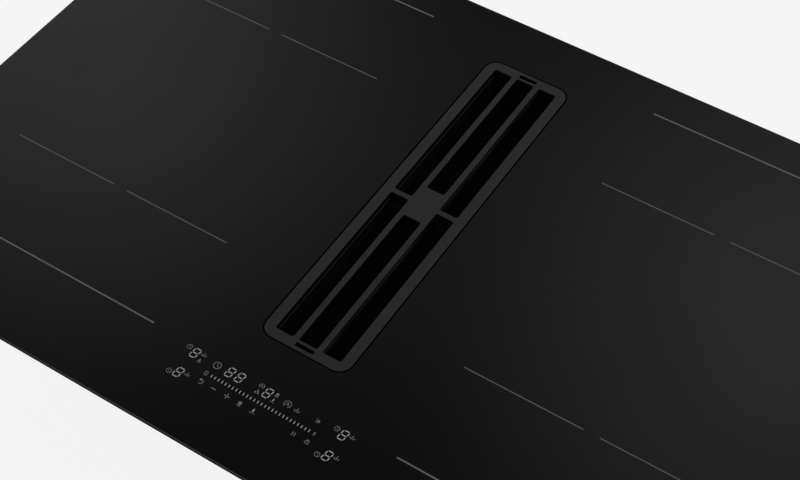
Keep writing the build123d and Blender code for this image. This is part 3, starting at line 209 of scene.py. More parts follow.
def addFloor():
    bm = bmesh.new()
    bmesh.ops.create_grid(bm, x_segments=1, y_segments=1, size=studio["floorReach"] / 2)
    level = cadBox[0].z - studio["floorGap"] * mm
    bmesh.ops.translate(bm, vec=(0, 0, level), verts=bm.verts)
    mesh = bpy.data.meshes.new("floor")
    bm.to_mesh(mesh)
    bm.free()
    mesh.materials.append(floorMaterial())
    floor = bpy.data.objects.new("floor", mesh)
    bpy.context.scene.collection.objects.link(floor)


bpy.context.scene.view_settings.view_transform = "Standard"
addCamera()
addWorld()
addLamps()
addFloor()
print("camera, floor and light are in place")


# effects that several finishes share
def newGroup(name, inputs, outputs):
    tree = bpy.data.node_groups.new(name, "ShaderNodeTree")
    for label, kind, value in inputs:
        socket = tree.interface.new_socket(label, in_out="INPUT", socket_type=kind)
        if value is not None:
            socket.default_value = value
    for label, kind in outputs:
        tree.interface.new_socket(label, in_out="OUTPUT", socket_type=kind)
    return tree, nodeOf(tree, "NodeGroupInput"), nodeOf(tree, "NodeGroupOutput")


def noiseOf(tree, vector, scale, detail=4.0):
    noise = nodeOf(tree, "ShaderNodeTexNoise")
    noise.inputs["Detail"].default_value = detail
    tree.links.new(vector, noise.inputs["Vector"])
    if isinstance(scale, (int, float)):
        noise.inputs["Scale"].default_value = scale
    else:
        tree.links.new(scale, noise.inputs["Scale"])
    return noise.outputs["Fac"]


def shadeBy(tree, colour, amount, pattern):
    # darkens or lightens a colour where the pattern is under or over its middle
    swing = mathOf(tree, "MULTIPLY", mathOf(tree, "SUBTRACT", pattern, 0.5), amount)
    factor = mathOf(tree, "ADD", mathOf(tree, "MULTIPLY", swing, 2.0), 1.0)
    scaled = nodeOf(tree, "ShaderNodeVectorMath", operation="SCALE")
    tree.links.new(colour, scaled.inputs[0])
    tree.links.new(factor, scaled.inputs["Scale"])
    return scaled.outputs[0]


surfaceSockets = (
    ("Vector", "NodeSocketVector", None),
    ("Colour", "NodeSocketColor", (0.5, 0.5, 0.5, 1)),
    ("Roughness", "NodeSocketFloat", 0.5),
    ("Scale", "NodeSocketFloat", 600.0),
    ("Change", "NodeSocketFloat", 0.1),
)
surfaceResults = (
    ("Colour", "NodeSocketColor"),
    ("Roughness", "NodeSocketFloat"),
    ("Height", "NodeSocketFloat"),
)


effectFacts = {
    # scale and detail of the slow change, and how far it or the fine one moves the roughness
    "grain": {"slow": 7.0, "detail": 3.0, "swing": 0.25},
    "spangle": {"slow": 9.0, "detail": 4.0, "swing": 0.22},
    "rolled": {"slow": 6.0, "detail": 3.0, "swing": 0.3, "stretch": (1.0, 0.03, 1.0)},
}


def slowNoise(tree, given, facts):
    return noiseOf(tree, given.outputs["Vector"], facts["slow"], facts["detail"])


def endEffect(tree, given, result, patterns, rough, swing, height):
    # what each effect ends with: two patterns change the tone, one the roughness, one the relief
    both = mathOf(tree, "MULTIPLY", mathOf(tree, "ADD", *patterns), 0.5)
    colour = shadeBy(tree, given.outputs["Colour"], given.outputs["Change"], both)
    uneven = mathOf(tree, "MULTIPLY", mathOf(tree, "SUBTRACT", rough, 0.5), swing)
    tree.links.new(colour, result.inputs["Colour"])
    tree.links.new(mathOf(tree, "ADD", given.outputs["Roughness"], uneven), result.inputs["Roughness"])
    tree.links.new(height, result.inputs["Height"])
    return tree


def grainGroup(facts):
    # fine grain of moulded or coated surfaces, with a slow change of tone
    tree, given, result = newGroup("fine_grain", surfaceSockets, surfaceResults)
    fine = noiseOf(tree, given.outputs["Vector"], given.outputs["Scale"], facts["detail"])
    slow = slowNoise(tree, given, facts)
    return endEffect(tree, given, result, (fine, slow), slow, facts["swing"], fine)


def spangleGroup(facts):
    # crystal pattern of zinc on sheet steel
    tree, given, result = newGroup("zinc_spangle", surfaceSockets, surfaceResults)
    cells = nodeOf(tree, "ShaderNodeTexVoronoi")
    tree.links.new(given.outputs["Vector"], cells.inputs["Vector"])
    tree.links.new(given.outputs["Scale"], cells.inputs["Scale"])
    tone = nodeOf(tree, "ShaderNodeSeparateColor")
    tree.links.new(cells.outputs["Color"], tone.inputs[0])
    slow = slowNoise(tree, given, facts)
    red, green = tone.outputs["Red"], tone.outputs["Green"]
    return endEffect(tree, given, result, (red, slow), green, facts["swing"], slow)


def rolledGroup(facts):
    # drawn or rolled metal, with fine lines along Y
    tree, given, result = newGroup("rolled_lines", surfaceSockets, surfaceResults)
    long = nodeOf(tree, "ShaderNodeVectorMath", operation="MULTIPLY")
    tree.links.new(given.outputs["Vector"], long.inputs[0])
    long.inputs[1].default_value = facts["stretch"]
    lines = noiseOf(tree, long.outputs[0], given.outputs["Scale"])
    slow = slowNoise(tree, given, facts)
    return endEffect(tree, given, result, (lines, slow), lines, facts["swing"], lines)


effects = {
    "grain": grainGroup(effectFacts["grain"]),
    "spangle": spangleGroup(effectFacts["spangle"]),
    "rolled": rolledGroup(effectFacts["rolled"]),
}


reliefDepth = 0.1


def finishOf(name, effect, colour, roughness, scale, change, bump, **shader):
    # a material made of one shared effect and one Principled shader: scale is the pattern's,
    # change is how far it moves the tone, and bump how strongly it raises the surface
    material = bpy.data.materials.new(name)
    material.use_nodes = True
    tree = material.node_tree
    body = tree.nodes["Principled BSDF"]
    place = nodeOf(tree, "ShaderNodeTexCoord")
    group = nodeOf(tree, "ShaderNodeGroup", node_tree=effects[effect])
    tree.links.new(place.outputs["Object"], group.inputs["Vector"])
    group.inputs["Colour"].default_value = (*colour, 1)
    group.inputs["Roughness"].default_value = roughness
    group.inputs["Scale"].default_value = scale
    group.inputs["Change"].default_value = change
    tree.links.new(group.outputs["Colour"], body.inputs["Base Color"])
    tree.links.new(group.outputs["Roughness"], body.inputs["Roughness"])
    relief = nodeOf(tree, "ShaderNodeBump")
    relief.inputs["Strength"].default_value = bump
    relief.inputs["Distance"].default_value = reliefDepth * mm
    tree.links.new(group.outputs["Height"], relief.inputs["Height"])
    tree.links.new(relief.outputs["Normal"], body.inputs["Normal"])
    for label, value in shader.items():
        body.inputs[label.replace("_", " ")].default_value = value
    return material


def objectPlace(tree):
    return nodeOf(tree, "ShaderNodeTexCoord").outputs["Object"]


def fadeOf(tree, value, start, end, **facts):
    # 0 at the start and 1 at the end
    fade = nodeOf(tree, "ShaderNodeMapRange", **facts)
    tree.links.new(value, fade.inputs["Value"])
    fade.inputs["From Min"].default_value = start
    fade.inputs["From Max"].default_value = end
    return fade.outputs["Result"]


def greyOf(level):
    return (level, level, level)


def blendOf(tree, factor, low, high):
    # a mix of two colours, each a socket or plain numbers
    blend = nodeOf(tree, "ShaderNodeMix", data_type="RGBA")
    tree.links.new(factor, blend.inputs["Factor"])
    for socket, source in ((blend.inputs[6], low), (blend.inputs[7], high)):
        if isinstance(source, tuple):
            socket.default_value = (*source, 1)
        else:
            tree.links.new(source, socket)
    return blend.outputs[2]


def blackGlass():
    # ceramic glass, dyed through, so it is nearly black and polished
    return finishOf(
        "black_glass", "grain", greyOf(0.0024),
        roughness=0.09, scale=240.0, change=0.3, bump=0.0, IOR=1.5,
    )


def coatedMetal():
    # fine matt powder coat of the grille
    return finishOf(
        "coated_metal", "grain", greyOf(0.0125),
        roughness=0.6, scale=1800.0, change=0.16, bump=0.35,
    )


def slotWallPaintedShade():
    # cast walls of the slots, with painted shade: a near-black grey stands for the shade that always lies
    # in them
    return finishOf(
        "slot_wall_painted_shade", "grain", greyOf(0.002),
        roughness=0.6, scale=1200.0, change=0.2, bump=0.3, Specular_IOR_Level=0.08,
    )


def ribPaintedHighlight():
    # the thin ribs low in the side slots, with a painted highlight: a lighter grey stands for the light
    # line along them
    return finishOf(
        "rib_painted_highlight", "grain", greyOf(0.035),
        roughness=0.5, scale=1200.0, change=0.2, bump=0.3,
    )


def groundEdge():
    # side of the glass, ground matt and sealed in black
    return finishOf(
        "ground_edge", "grain", greyOf(0.004),
        roughness=0.8, scale=1500.0, change=0.3, bump=0.3, Specular_IOR_Level=0.02,
    )


def blackPlastic():
    return finishOf(
        "black_plastic", "grain", (0.006, 0.006, 0.0065),
        roughness=0.55, scale=1400.0, change=0.2, bump=0.3, Specular_IOR_Level=0.3,
    )


def greyPlastic():
    return finishOf(
        "grey_plastic", "grain", (0.16, 0.165, 0.17),
        roughness=0.5, scale=1400.0, change=0.12, bump=0.3,
    )


def drawerPlastic():
    return finishOf(
        "drawer_plastic", "grain", (0.05, 0.052, 0.055),
        roughness=0.42, scale=1200.0, change=0.15, bump=0.25,
    )


def softRubber():
    return finishOf(
        "soft_rubber", "grain", greyOf(0.012),
        roughness=0.8, scale=1000.0, change=0.2, bump=0.4,
    )


def sealFoam():
    return finishOf(
        "seal_foam", "grain", (0.03, 0.03, 0.032),
        roughness=0.95, scale=900.0, change=0.5, bump=0.9,
    )


def galvanisedSteel():
    return finishOf(
        "galvanised_steel", "spangle", (0.48, 0.49, 0.50),
        roughness=0.38, scale=130.0, change=0.28, bump=0.1, Metallic=1.0,
    )


def zincSteel():
    return finishOf(
        "zinc_steel", "spangle", (0.55, 0.56, 0.57),
        roughness=0.3, scale=700.0, change=0.2, bump=0.1, Metallic=1.0,
    )


def stainlessSteel():
    return finishOf(
        "stainless_steel", "rolled", (0.56, 0.55, 0.53),
        roughness=0.3, scale=1600.0, change=0.15, bump=0.15, Metallic=1.0,
    )


def blackCoatShadeSteel():
    # stainless steel of the filter cassette in a black coat, with painted shade making it darker still
    return finishOf(
        "black_coat_painted_shade_steel", "rolled", greyOf(0.005),
        roughness=0.55, scale=1200.0, change=0.3, bump=0.2, Specular_IOR_Level=0.12,
    )


def aluminiumSheet():
    return finishOf(
        "aluminium_sheet", "rolled", (0.72, 0.73, 0.74),
        roughness=0.34, scale=1400.0, change=0.12, bump=0.15, Metallic=1.0,
    )


def motorSteel():
    return finishOf(
        "motor_steel", "rolled", (0.36, 0.36, 0.37),
        roughness=0.36, scale=900.0, change=0.15, bump=0.15, Metallic=1.0,
    )


def carrierPlastic():
    return finishOf(
        "carrier_plastic", "grain", (0.30, 0.27, 0.22),
        roughness=0.6, scale=1200.0, change=0.15, bump=0.3,
    )


def ferriteCeramic():
    return finishOf(
        "ferrite_ceramic", "grain", (0.035, 0.034, 0.036),
        roughness=0.45, scale=1500.0, change=0.4, bump=0.5,
    )


def micaSheet():
    return finishOf(
        "mica_sheet", "spangle", (0.52, 0.46, 0.36),
        roughness=0.4, scale=220.0, change=0.3, bump=0.2,
    )


def whiteCeramic():
    return finishOf(
        "white_ceramic", "grain", (0.78, 0.77, 0.73),
        roughness=0.4, scale=800.0, change=0.06, bump=0.1,
    )


def displayPlastic():
    return finishOf(
        "display_plastic", "grain", (0.05, 0.045, 0.045),
        roughness=0.35, scale=900.0, change=0.1, bump=0.1,
    )


def terminalPlastic():
    return finishOf(
        "terminal_plastic", "grain", (0.55, 0.56, 0.55),
        roughness=0.5, scale=1200.0, change=0.1, bump=0.2,
    )


def figurePrint():
    # ink and lit figures read as one pale grey through the glass
    return finishOf(
        "figure_print", "grain", greyOf(0.29),
        roughness=0.5, scale=3000.0, change=0.1, bump=0.0,
    )


def symbolPrint():
    return finishOf(
        "symbol_print", "grain", greyOf(0.17),
        roughness=0.5, scale=3000.0, change=0.1, bump=0.0,
    )


def zonePrint():
    return finishOf(
        "zone_print", "grain", greyOf(0.095),
        roughness=0.5, scale=3000.0, change=0.12, bump=0.0,
    )


def litzCopper():
    # bundles of fine enamelled strands
    return finishOf(
        "litz_copper", "grain", (0.40, 0.155, 0.062),
        roughness=0.4, scale=2200.0, change=0.35, bump=0.5, Metallic=0.85,
    )


# finishes with a pattern of their own
# painted shade and painted reflection of the side slots' inner walls: a near-black shade, a lighter streak
# that stands for a reflection, the heights where the streak fades in, and patches that break it
paintedSheenStreak = {
    "dark": 0.003,
    "light": 0.021,
    "levels": ((-3.0, 0.8), (3.1, 1.9)),      # where it comes in from below and from above
    "patchScale": 14.0,
    "patches": (0.35, 0.6),
}


def paintedReflectionWall():
    # inner walls of the side slots: painted shade, with a painted reflection as a soft brighter streak
    # under their upper edge
    material = finishOf(
        "painted_reflection_wall", "grain", greyOf(paintedSheenStreak["dark"]),
        roughness=0.6, scale=1200.0, change=0.2, bump=0.3, Specular_IOR_Level=0.15,
    )
    tree = material.node_tree
    place = objectPlace(tree)
    streak = 1.0
    for start, end in paintedSheenStreak["levels"]:
        fade = fadeOf(tree, axesOf(tree, place)["Z"], start * mm, end * mm, interpolation_type="SMOOTHSTEP")
        streak = mathOf(tree, "MULTIPLY", fade, streak)
    noise = noiseOf(tree, place, paintedSheenStreak["patchScale"], 1.0)
    streak = mathOf(tree, "MULTIPLY", streak, fadeOf(tree, noise, *paintedSheenStreak["patches"]))
    tone = blendOf(tree, streak, greyOf(paintedSheenStreak["dark"]), greyOf(paintedSheenStreak["light"]))
    tree.links.new(tone, tree.nodes["Principled BSDF"].inputs["Base Color"])
    return material


board = {
    "lacquer": (0.018, 0.085, 0.04),
    "trackScale": 90.0,
    "trackGap": 0.04,
    "tracks": (1.0, 0.7, 0.25),       # brightness of two kinds of track and of what parts them
    "housing": (0.018, 0.018, 0.02),
    "filmHousing": (0.27, 0.26, 0.23),
    "filmRow": 177.0,                 # row of film capacitors, on both power boards
    "filmReach": 7.0,
    "powerTop": -51.4,                # just over the power boards' and the touch board's own faces
    "touchTop": 0.0,
}


def circuitBoard(name, level):
    # green lacquer over darker copper tracks, and the parts' own colours over a level
    material = finishOf(
        name, "grain", board["lacquer"],
        roughness=0.35, scale=900.0, change=0.2, bump=0.2,
    )
    tree = material.node_tree
    group = next(n for n in tree.nodes if n.type == "GROUP")
    place = objectPlace(tree)
    tracks = nodeOf(tree, "ShaderNodeTexBrick")
    tree.links.new(place, tracks.inputs["Vector"])
    tracks.inputs["Scale"].default_value = board["trackScale"]
    tracks.inputs["Mortar Size"].default_value = board["trackGap"]
    for label, grey in zip(("Color1", "Color2", "Mortar"), board["tracks"]):
        tracks.inputs[label].default_value = (*greyOf(grey), 1)
    base = nodeOf(tree, "ShaderNodeMix", data_type="RGBA", blend_type="MULTIPLY")
    base.inputs["Factor"].default_value = 1.0
    tree.links.new(group.outputs["Colour"], base.inputs[6])
    tree.links.new(tracks.outputs["Color"], base.inputs[7])
    above = mathOf(tree, "GREATER_THAN", axesOf(tree, place)["Z"], level * mm)
    both = blendOf(tree, above, base.outputs[2], partColour(tree, place))
    tree.links.new(both, tree.nodes["Principled BSDF"].inputs["Base Color"])
    return material


def partColour(tree, place):
    # black housings, and pale ones in the film capacitors' row
    across = mathOf(tree, "ABSOLUTE", axesOf(tree, place)["X"])
    off = mathOf(tree, "ABSOLUTE", mathOf(tree, "SUBTRACT", across, board["filmRow"] * mm))
    inRow = mathOf(tree, "LESS_THAN", off, board["filmReach"] * mm)
    return blendOf(tree, inRow, board["housing"], board["filmHousing"])


# the lattice's grey is the mesh's black coat, darkened further by painted shade for its place deep under
# the grille
lattice = {"grey": 0.005, "pitch": 3.6, "depth": 0.8, "change": 0.9}


def expandedMetal():
    # dark, lattice-cut sheet of the grease filter, in a black coat with painted shade making it darker
    # still
    material = finishOf(
        "expanded_metal", "rolled", greyOf(lattice["grey"]),
        roughness=0.6, scale=900.0, change=0.2, bump=0.3, Metallic=0.6, Specular_IOR_Level=0.12,
    )
    tree = material.node_tree
    group = next(n for n in tree.nodes if n.type == "GROUP")
    relief = next(n for n in tree.nodes if n.type == "BUMP")
    axes = axesOf(tree, objectPlace(tree))
    waves = []
    for operation in ("ADD", "SUBTRACT"):
        across = mathOf(tree, operation, axes["X"], axes["Y"])
        turn = mathOf(tree, "MULTIPLY", across, 2 * pi / (lattice["pitch"] * mm))
        waves.append(mathOf(tree, "SINE", turn))
    strands = mathOf(tree, "MAXIMUM", *waves)
    height = mathOf(tree, "ADD", mathOf(tree, "MULTIPLY", strands, 0.5), 0.5)
    holes = nodeOf(tree, "ShaderNodeBump")
    holes.inputs["Strength"].default_value = 1.0
    holes.inputs["Distance"].default_value = lattice["depth"] * mm
    tree.links.new(height, holes.inputs["Height"])
    tree.links.new(holes.outputs["Normal"], relief.inputs["Normal"])
    shade = shadeBy(tree, group.outputs["Colour"], lattice["change"], height)
    tree.links.new(shade, tree.nodes["Principled BSDF"].inputs["Base Color"])
    return material


finishes = {
    "black_glass": blackGlass(),
    "foam": sealFoam(),
    "galvanised_steel": galvanisedSteel(),
    "black_metal": coatedMetal(),
    "black_rubber": softRubber(),
    "black_plastic": blackPlastic(),
    "stainless": stainlessSteel(),
    "mesh_metal": expandedMetal(),
    "grey_plastic": greyPlastic(),
    "spill_plastic": drawerPlastic(),
    "aluminium_sheet": aluminiumSheet(),
    "litz_copper": litzCopper(),
    "carrier_plastic": carrierPlastic(),
    "ferrite": ferriteCeramic(),
    "mica": micaSheet(),
    "white_ceramic": whiteCeramic(),
    "circuit_board": circuitBoard("circuit_board", board["powerTop"]),
    "zinc_steel": zincSteel(),
    "display_plastic": displayPlastic(),
    "terminal_plastic": terminalPlastic(),
    "motor_steel": motorSteel(),
}


def dressNodes():
    own = {"filter_frame": blackCoatShadeSteel()}
    own["filter_handle"] = own["filter_frame"]
    own["ui_board"] = circuitBoard("touch_board", board["touchTop"])
    for part in frame["record"]["subparts"]:
        thing = frame["nodes"][part["node"]]
        finish = own.get(part["node"], finishes[part["material_slot"]])
        for holder in thing.material_slots:
            holder.material = finish


dressNodes()
print("materials are on", len(frame["nodes"]), "nodes")


# helpers for meshes
def addPiece(bm, name, materials, body, replaced=()):
    # the mesh was made in millimetres; its object stays at the origin
    bmesh.ops.scale(bm, vec=(mm, mm, mm), verts=bm.verts)
    mesh = bpy.data.meshes.new(name)
    bm.to_mesh(mesh)
    bm.free()
    for material in materials:
        mesh.materials.append(material)
    piece = bpy.data.objects.new(name, mesh)
    bpy.context.scene.collection.objects.link(piece)
    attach(piece, body)
    if replaced:
        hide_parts(*replaced)


def outlineLoop(bm, width, length, corner, middle, level, steps=6):
    # edges of a rounded rectangle at one level
    place = Matrix.Translation((middle[0], middle[1], level)) @ Matrix.Diagonal((width, length, 1, 1))
    verts = bmesh.ops.create_grid(bm, x_segments=1, y_segments=1, size=0.5, matrix=place)["verts"]
    if corner > 0:
        verts = bmesh.ops.bevel(
            bm, geom=verts, offset=corner, segments=steps, profile=0.5, affect="VERTICES", material=-1
        )["verts"]
    face = verts[0].link_faces[0]
    edges = list(face.edges)
    bmesh.ops.delete(bm, geom=[face], context="FACES_ONLY")
    return edges


def wallOf(bm, outline, levels, steps=6):
    # walls of one rounded rectangle through several (inset, level) pairs, from the bottom up
    width, length, corner, middle, grow = outline      # it grows (1) or shrinks (-1) by the inset
    loops = []
    for inset, level in levels:
        change = grow * inset
        size = (width + 2 * change, length + 2 * change)
        loops.append(outlineLoop(bm, *size, corner + change, middle, level, steps))
    for low, high in zip(loops, loops[1:]):
        for face in bmesh.ops.bridge_loops(bm, edges=low + high)["faces"]:
            face.smooth = True
    return loops[0], loops[-1]


def roundedEdge(reach, bottom, top, steps=3, foot=0.0):
    # (inset, level) pairs of a straight wall with a rounded upper edge and a cut lower edge
    pairs = [(foot, bottom), (0.0, bottom + foot)] if foot > 0 else [(0.0, bottom)]
    for step in range(steps + 1):
        turn = radians(90 * step / steps)
        pairs.append((reach * (1 - cos(turn)), top - reach * (1 - sin(turn))))
    return pairs


def closeBetween(bm, loops):
    # one flat face pattern between outlines that lie at the same level
    edges = [edge for loop in loops for edge in loop]
    bmesh.ops.triangle_fill(bm, use_beauty=True, edges=edges)


def boxOf(bm, low, high, finish=0):
    # a plain block between two corners
    size = [b - a for a, b in zip(low, high)]
    middle = [(a + b) / 2 for a, b in zip(low, high)]
    place = Matrix.Translation(middle) @ Matrix.Diagonal((*size, 1))
    verts = bmesh.ops.create_cube(bm, size=1, matrix=place)["verts"]
    for face in {face for vert in verts for face in vert.link_faces}:
        face.material_index = finish


def darkenBelow(bm, level, finish):
    # faces whose middle is lower than a level take another finish
    for face in bm.faces:
        if face.calc_center_median().z < level:
            face.material_index = finish


mergeReach = 0.0005


def finishNormals(bm):
    bmesh.ops.remove_doubles(bm, verts=bm.verts, dist=mergeReach)
    bmesh.ops.recalc_face_normals(bm, faces=bm.faces)


# the glass plate
glass = {
    "width": 800.0,
    "depth": 520.0,
    "bottom": 1.5,
    "top": 5.47,           # the prints lie on it and end at the CAD glass's level
    "corner": 6.0,
    "cornerSteps": 8,
    "bevel": ((0.0, 0.62), (0.12, 0.4), (0.42, 0.1), (0.72, 0.0)),      # inset, and how far down
    "groundFrom": 0.57,    # how far down the side is ground matt
    "foot": 0.4,
    "openingWidth": 82.1,
    "openingLength": 355.2,
    "openingCorner": 12.8,
    "openingSteps": 12,
    "openingEdge": 0.15,
    "openingBack": 29.0,
}


def addGlass():
    bm = bmesh.new()
    outer = (glass["width"], glass["depth"], glass["corner"], (0, 0), -1)
    levels = [(glass["foot"], glass["bottom"]), (0.0, glass["bottom"] + glass["foot"])]
    levels += [(inset, glass["top"] - down) for inset, down in glass["bevel"]]
    outerLow, outerHigh = wallOf(bm, outer, levels, glass["cornerSteps"])
    middle = (0, glass["openingBack"])
    inner = (glass["openingWidth"], glass["openingLength"], glass["openingCorner"], middle, 1)
    edge = roundedEdge(glass["openingEdge"], glass["bottom"], glass["top"])
    innerLow, innerHigh = wallOf(bm, inner, edge, glass["openingSteps"])
    closeBetween(bm, [outerLow, innerLow])
    closeBetween(bm, [outerHigh, innerHigh])
    finishNormals(bm)
    darkenBelow(bm, glass["top"] - glass["groundFrom"], 1)
    both = [finishes["black_glass"], groundEdge()]
    addPiece(bm, "glass_plate", both, "housing", ["glass_top"])


addGlass()
print("glass made")


# the grille
grille = {
    "width": 79.0,
    "length": 352.1,
    "bottom": -5.5,
    "top": 5.45,
    "corner": 11.3,
    "cornerSteps": 10,
    "edge": 0.25,
    "rim": 9.15,
    "bar": 5.0,
    "crossBar": 4.6,
    "pad": 35.0,
    "slotCorner": 2.0,
    "slotSteps": 5,
    "slotEdge": 0.3,
    "slotFoot": 0.5,
    "endSlotWidth": 3.5,
    "endSlotMargin": 3.25,
    "endSlotCorner": 0.5,
    "shadeFrom": 0.2,          # how far down the walls take the painted shade
    "wallReach": 0.2,          # how near to its plane a face counts as the inner wall
    "back": 29.0,
    "ribLevel": -0.9,          # thin rib along the outer wall of each side slot
    "rib": 0.35,
    "ribRoot": 0.4,            # how deep the rib sits in the wall
    "ribMargin": 2.5,
}
slotWidth = (grille["width"] - 2 * grille["rim"] - 2 * grille["bar"]) / 3


def grilleSlots():
    # every slot as (width, length, corner, middle, grow)
    end = grille["length"] / 2 - grille["rim"]
    slots = []
    for row in (-1, 1):
        for column in (-1, 0, 1):
            start = grille["pad"] / 2 if column == 0 else grille["crossBar"] / 2
            middle = (column * (slotWidth + grille["bar"]), grille["back"] + row * (start + end) / 2)
            slots.append((slotWidth, end - start, grille["slotCorner"], middle, 1))
        away = grille["length"] / 2 - grille["endSlotMargin"] - grille["endSlotWidth"] / 2
        middle = (0, grille["back"] + row * away)
        slots.append((slotWidth, grille["endSlotWidth"], grille["endSlotCorner"], middle, 1))
    return slots


def addRibs(bm):
    # one low on the outer wall of each side slot
    for width, length, _, middle, _ in grilleSlots():
        if middle[0] == 0:
            continue
        side = 1 if middle[0] > 0 else -1
        wall = middle[0] + side * width / 2
        reach = length / 2 - grille["ribMargin"]
        across = sorted((wall + side * grille["ribRoot"], wall - side * grille["rib"]))
        low = (across[0], middle[1] - reach, grille["ribLevel"] - grille["rib"])
        high = (across[1], middle[1] + reach, grille["ribLevel"])
        # the ribs take the painted highlight of finish 2
        boxOf(bm, low, high, 2)


def paintReflectionOnInnerWalls(bm, finish):
    # the side slots' walls next to the bars, which face outwards, take the painted shade and painted
    # reflection of finish 3
    wall = slotWidth / 2 + grille["bar"]
    highest = grille["top"] - grille["slotEdge"]
    for face in bm.faces:
        middle = face.calc_center_median()
        outwards = face.normal.x * middle.x > 0 and abs(face.normal.x) > 0.9
        near = abs(abs(middle.x) - wall) < grille["wallReach"]
        if outwards and near and middle.z < highest:
            face.material_index = finish


def addGrille():
    bm = bmesh.new()
    outer = (grille["width"], grille["length"], grille["corner"], (0, grille["back"]), -1)
    edge = roundedEdge(grille["edge"], grille["bottom"], grille["top"], 3, grille["slotFoot"])
    low, high = wallOf(bm, outer, edge, grille["cornerSteps"])
    lows, highs = [low], [high]
    slotEdge = roundedEdge(grille["slotEdge"], grille["bottom"], grille["top"], 3, grille["slotFoot"])
    for slot in grilleSlots():
        low, high = wallOf(bm, slot, slotEdge, grille["slotSteps"])
        lows.append(low)
        highs.append(high)
    closeBetween(bm, lows)
    closeBetween(bm, highs)
    finishNormals(bm)
    # faces lower than just under the top take the painted shade of finish 1
    darkenBelow(bm, grille["top"] - grille["shadeFrom"], 1)
    paintReflectionOnInnerWalls(bm, 3)
    addRibs(bm)
    coats = [finishes["black_metal"], slotWallPaintedShade(), ribPaintedHighlight(), paintedReflectionWall()]      # finishes 0 to 3
    addPiece(bm, "grille_casting", coats, "grille", ["grille"])


addGrille()
print("grille made")


# the four coils, wound flat in two layers of litz wire
winding = {
    "width": 200.0,
    "length": 172.0,
    "corner": 68.0,
    "cornerSteps": 5,
    "band": 52.0,
    "turns": 20,
    "bottom": -4.0,
    "top": 1.0,
    "groove": 0.8,
    "shoulder": 0.12,          # share of the groove that a turn's shoulders are lower than its crest
    "edge": 0.2,
    "foot": 0.4,
    "layerGroove": (0.5, 1.2),      # depth and half height of the groove between the layers
    "across": 220.6,
    "middles": {"front": -91.1, "back": 129.1},
}


def windingLevels():
    # (inset, level) pairs over the turns, from the outer foot to the inner foot
    pitch = winding["band"] / winding["turns"]
    top, groove = winding["top"], winding["groove"]
    shoulder = top - winding["shoulder"] * groove
    depth, reach = winding["layerGroove"]
    half = (winding["bottom"] + top) / 2
    pairs = [(winding["foot"], winding["bottom"])]
    pairs += [(0.0, half - reach), (depth, half), (0.0, half + reach), (winding["edge"], top - groove)]
    for turn in range(winding["turns"]):
        start = turn * pitch
        if turn > 0:
            pairs.append((start, top - groove))
        for share, level in ((0.25, shoulder), (0.5, top), (0.75, shoulder)):
            pairs.append((start + share * pitch, level))
    pairs += [(winding["band"], top - groove), (winding["band"], winding["bottom"])]
    return pairs


def addWinding(row, side, hand):
    bm = bmesh.new()
    middle = (side * winding["across"], winding["middles"][row])
    outline = (winding["width"], winding["length"], winding["corner"], middle, -1)
    outer, inner = wallOf(bm, outline, windingLevels(), winding["cornerSteps"])
    closeBetween(bm, [outer, inner])
    finishNormals(bm)
    name = "%s_%s" % (row, hand)
    node = "coil_winding_" + name
    addPiece(bm, "turns_" + name, [finishes["litz_copper"]], "housing", [node])


for row in winding["middles"]:
    addWinding(row, -1, "left")
    addWinding(row, 1, "right")
print("coils made")


# screw heads, each group put where its CAD heads are
screwHead = {
    "flange": 3.55,
    "flangeHeight": 0.55,
    "flangeDraft": 0.2,
    "flangeSides": 18,
    "hexagon": 3.0,
    "height": 2.2,
    "chamfer": 0.3,
    "recessRadius": 1.5,
    "recessDepth": 1.0,
    "recessDraft": 0.05,
    "mergeReach": 0.01,
}
screwGroups = ("rim_screws", "clamp_screws", "motor_screws", "fan_screws", "housing_screws")
undersideLevel = -100.0      # housing screws lower than this are driven in from below


def headPlaces(nodeName):
    # middle and size of every loose head in a group
    bm = bmesh.new()
    bm.from_mesh(frame["nodes"][nodeName].data)
    bmesh.ops.remove_doubles(bm, verts=bm.verts, dist=screwHead["mergeReach"] * mm)
    left = set(bm.verts)
    places = []
    while left:
        found = {left.pop()}
        edge = set(found)
        while edge:
            edge = {e.other_vert(v) for v in edge for e in v.link_edges} - found
            found |= edge
        left -= found
        low = Vector([min(v.co[axis] for v in found) for axis in range(3)])
        high = Vector([max(v.co[axis] for v in found) for axis in range(3)])
        places.append(((low + high) / 2 / mm, (high - low) / mm))
    bm.free()
    return sorted(places, key=lambda place: tuple(round(value, 2) for value in place[0]))


def outwardOf(nodeName, middle, size):
    # the way that a head points
    axis = min(range(3), key=lambda each: abs(size[each] - screwHead["height"]))
    way = Vector((0, 0, 0))
    if axis == 2:
        low = nodeName == "housing_screws" and middle.z < undersideLevel
        way[2] = -1 if low or nodeName == "motor_screws" else 1
    else:
        way[axis] = 1 if middle[axis] > 0 else -1
    return way


def coneOf(bm, sides, low, high, base, height):
    # an upright closed cone or prism, with its two radii
    place = Matrix.Translation((0, 0, base + height / 2))
    made = bmesh.ops.create_cone(
        bm, cap_ends=True, segments=sides, radius1=low, radius2=high, depth=height, matrix=place
    )
    return made["verts"]


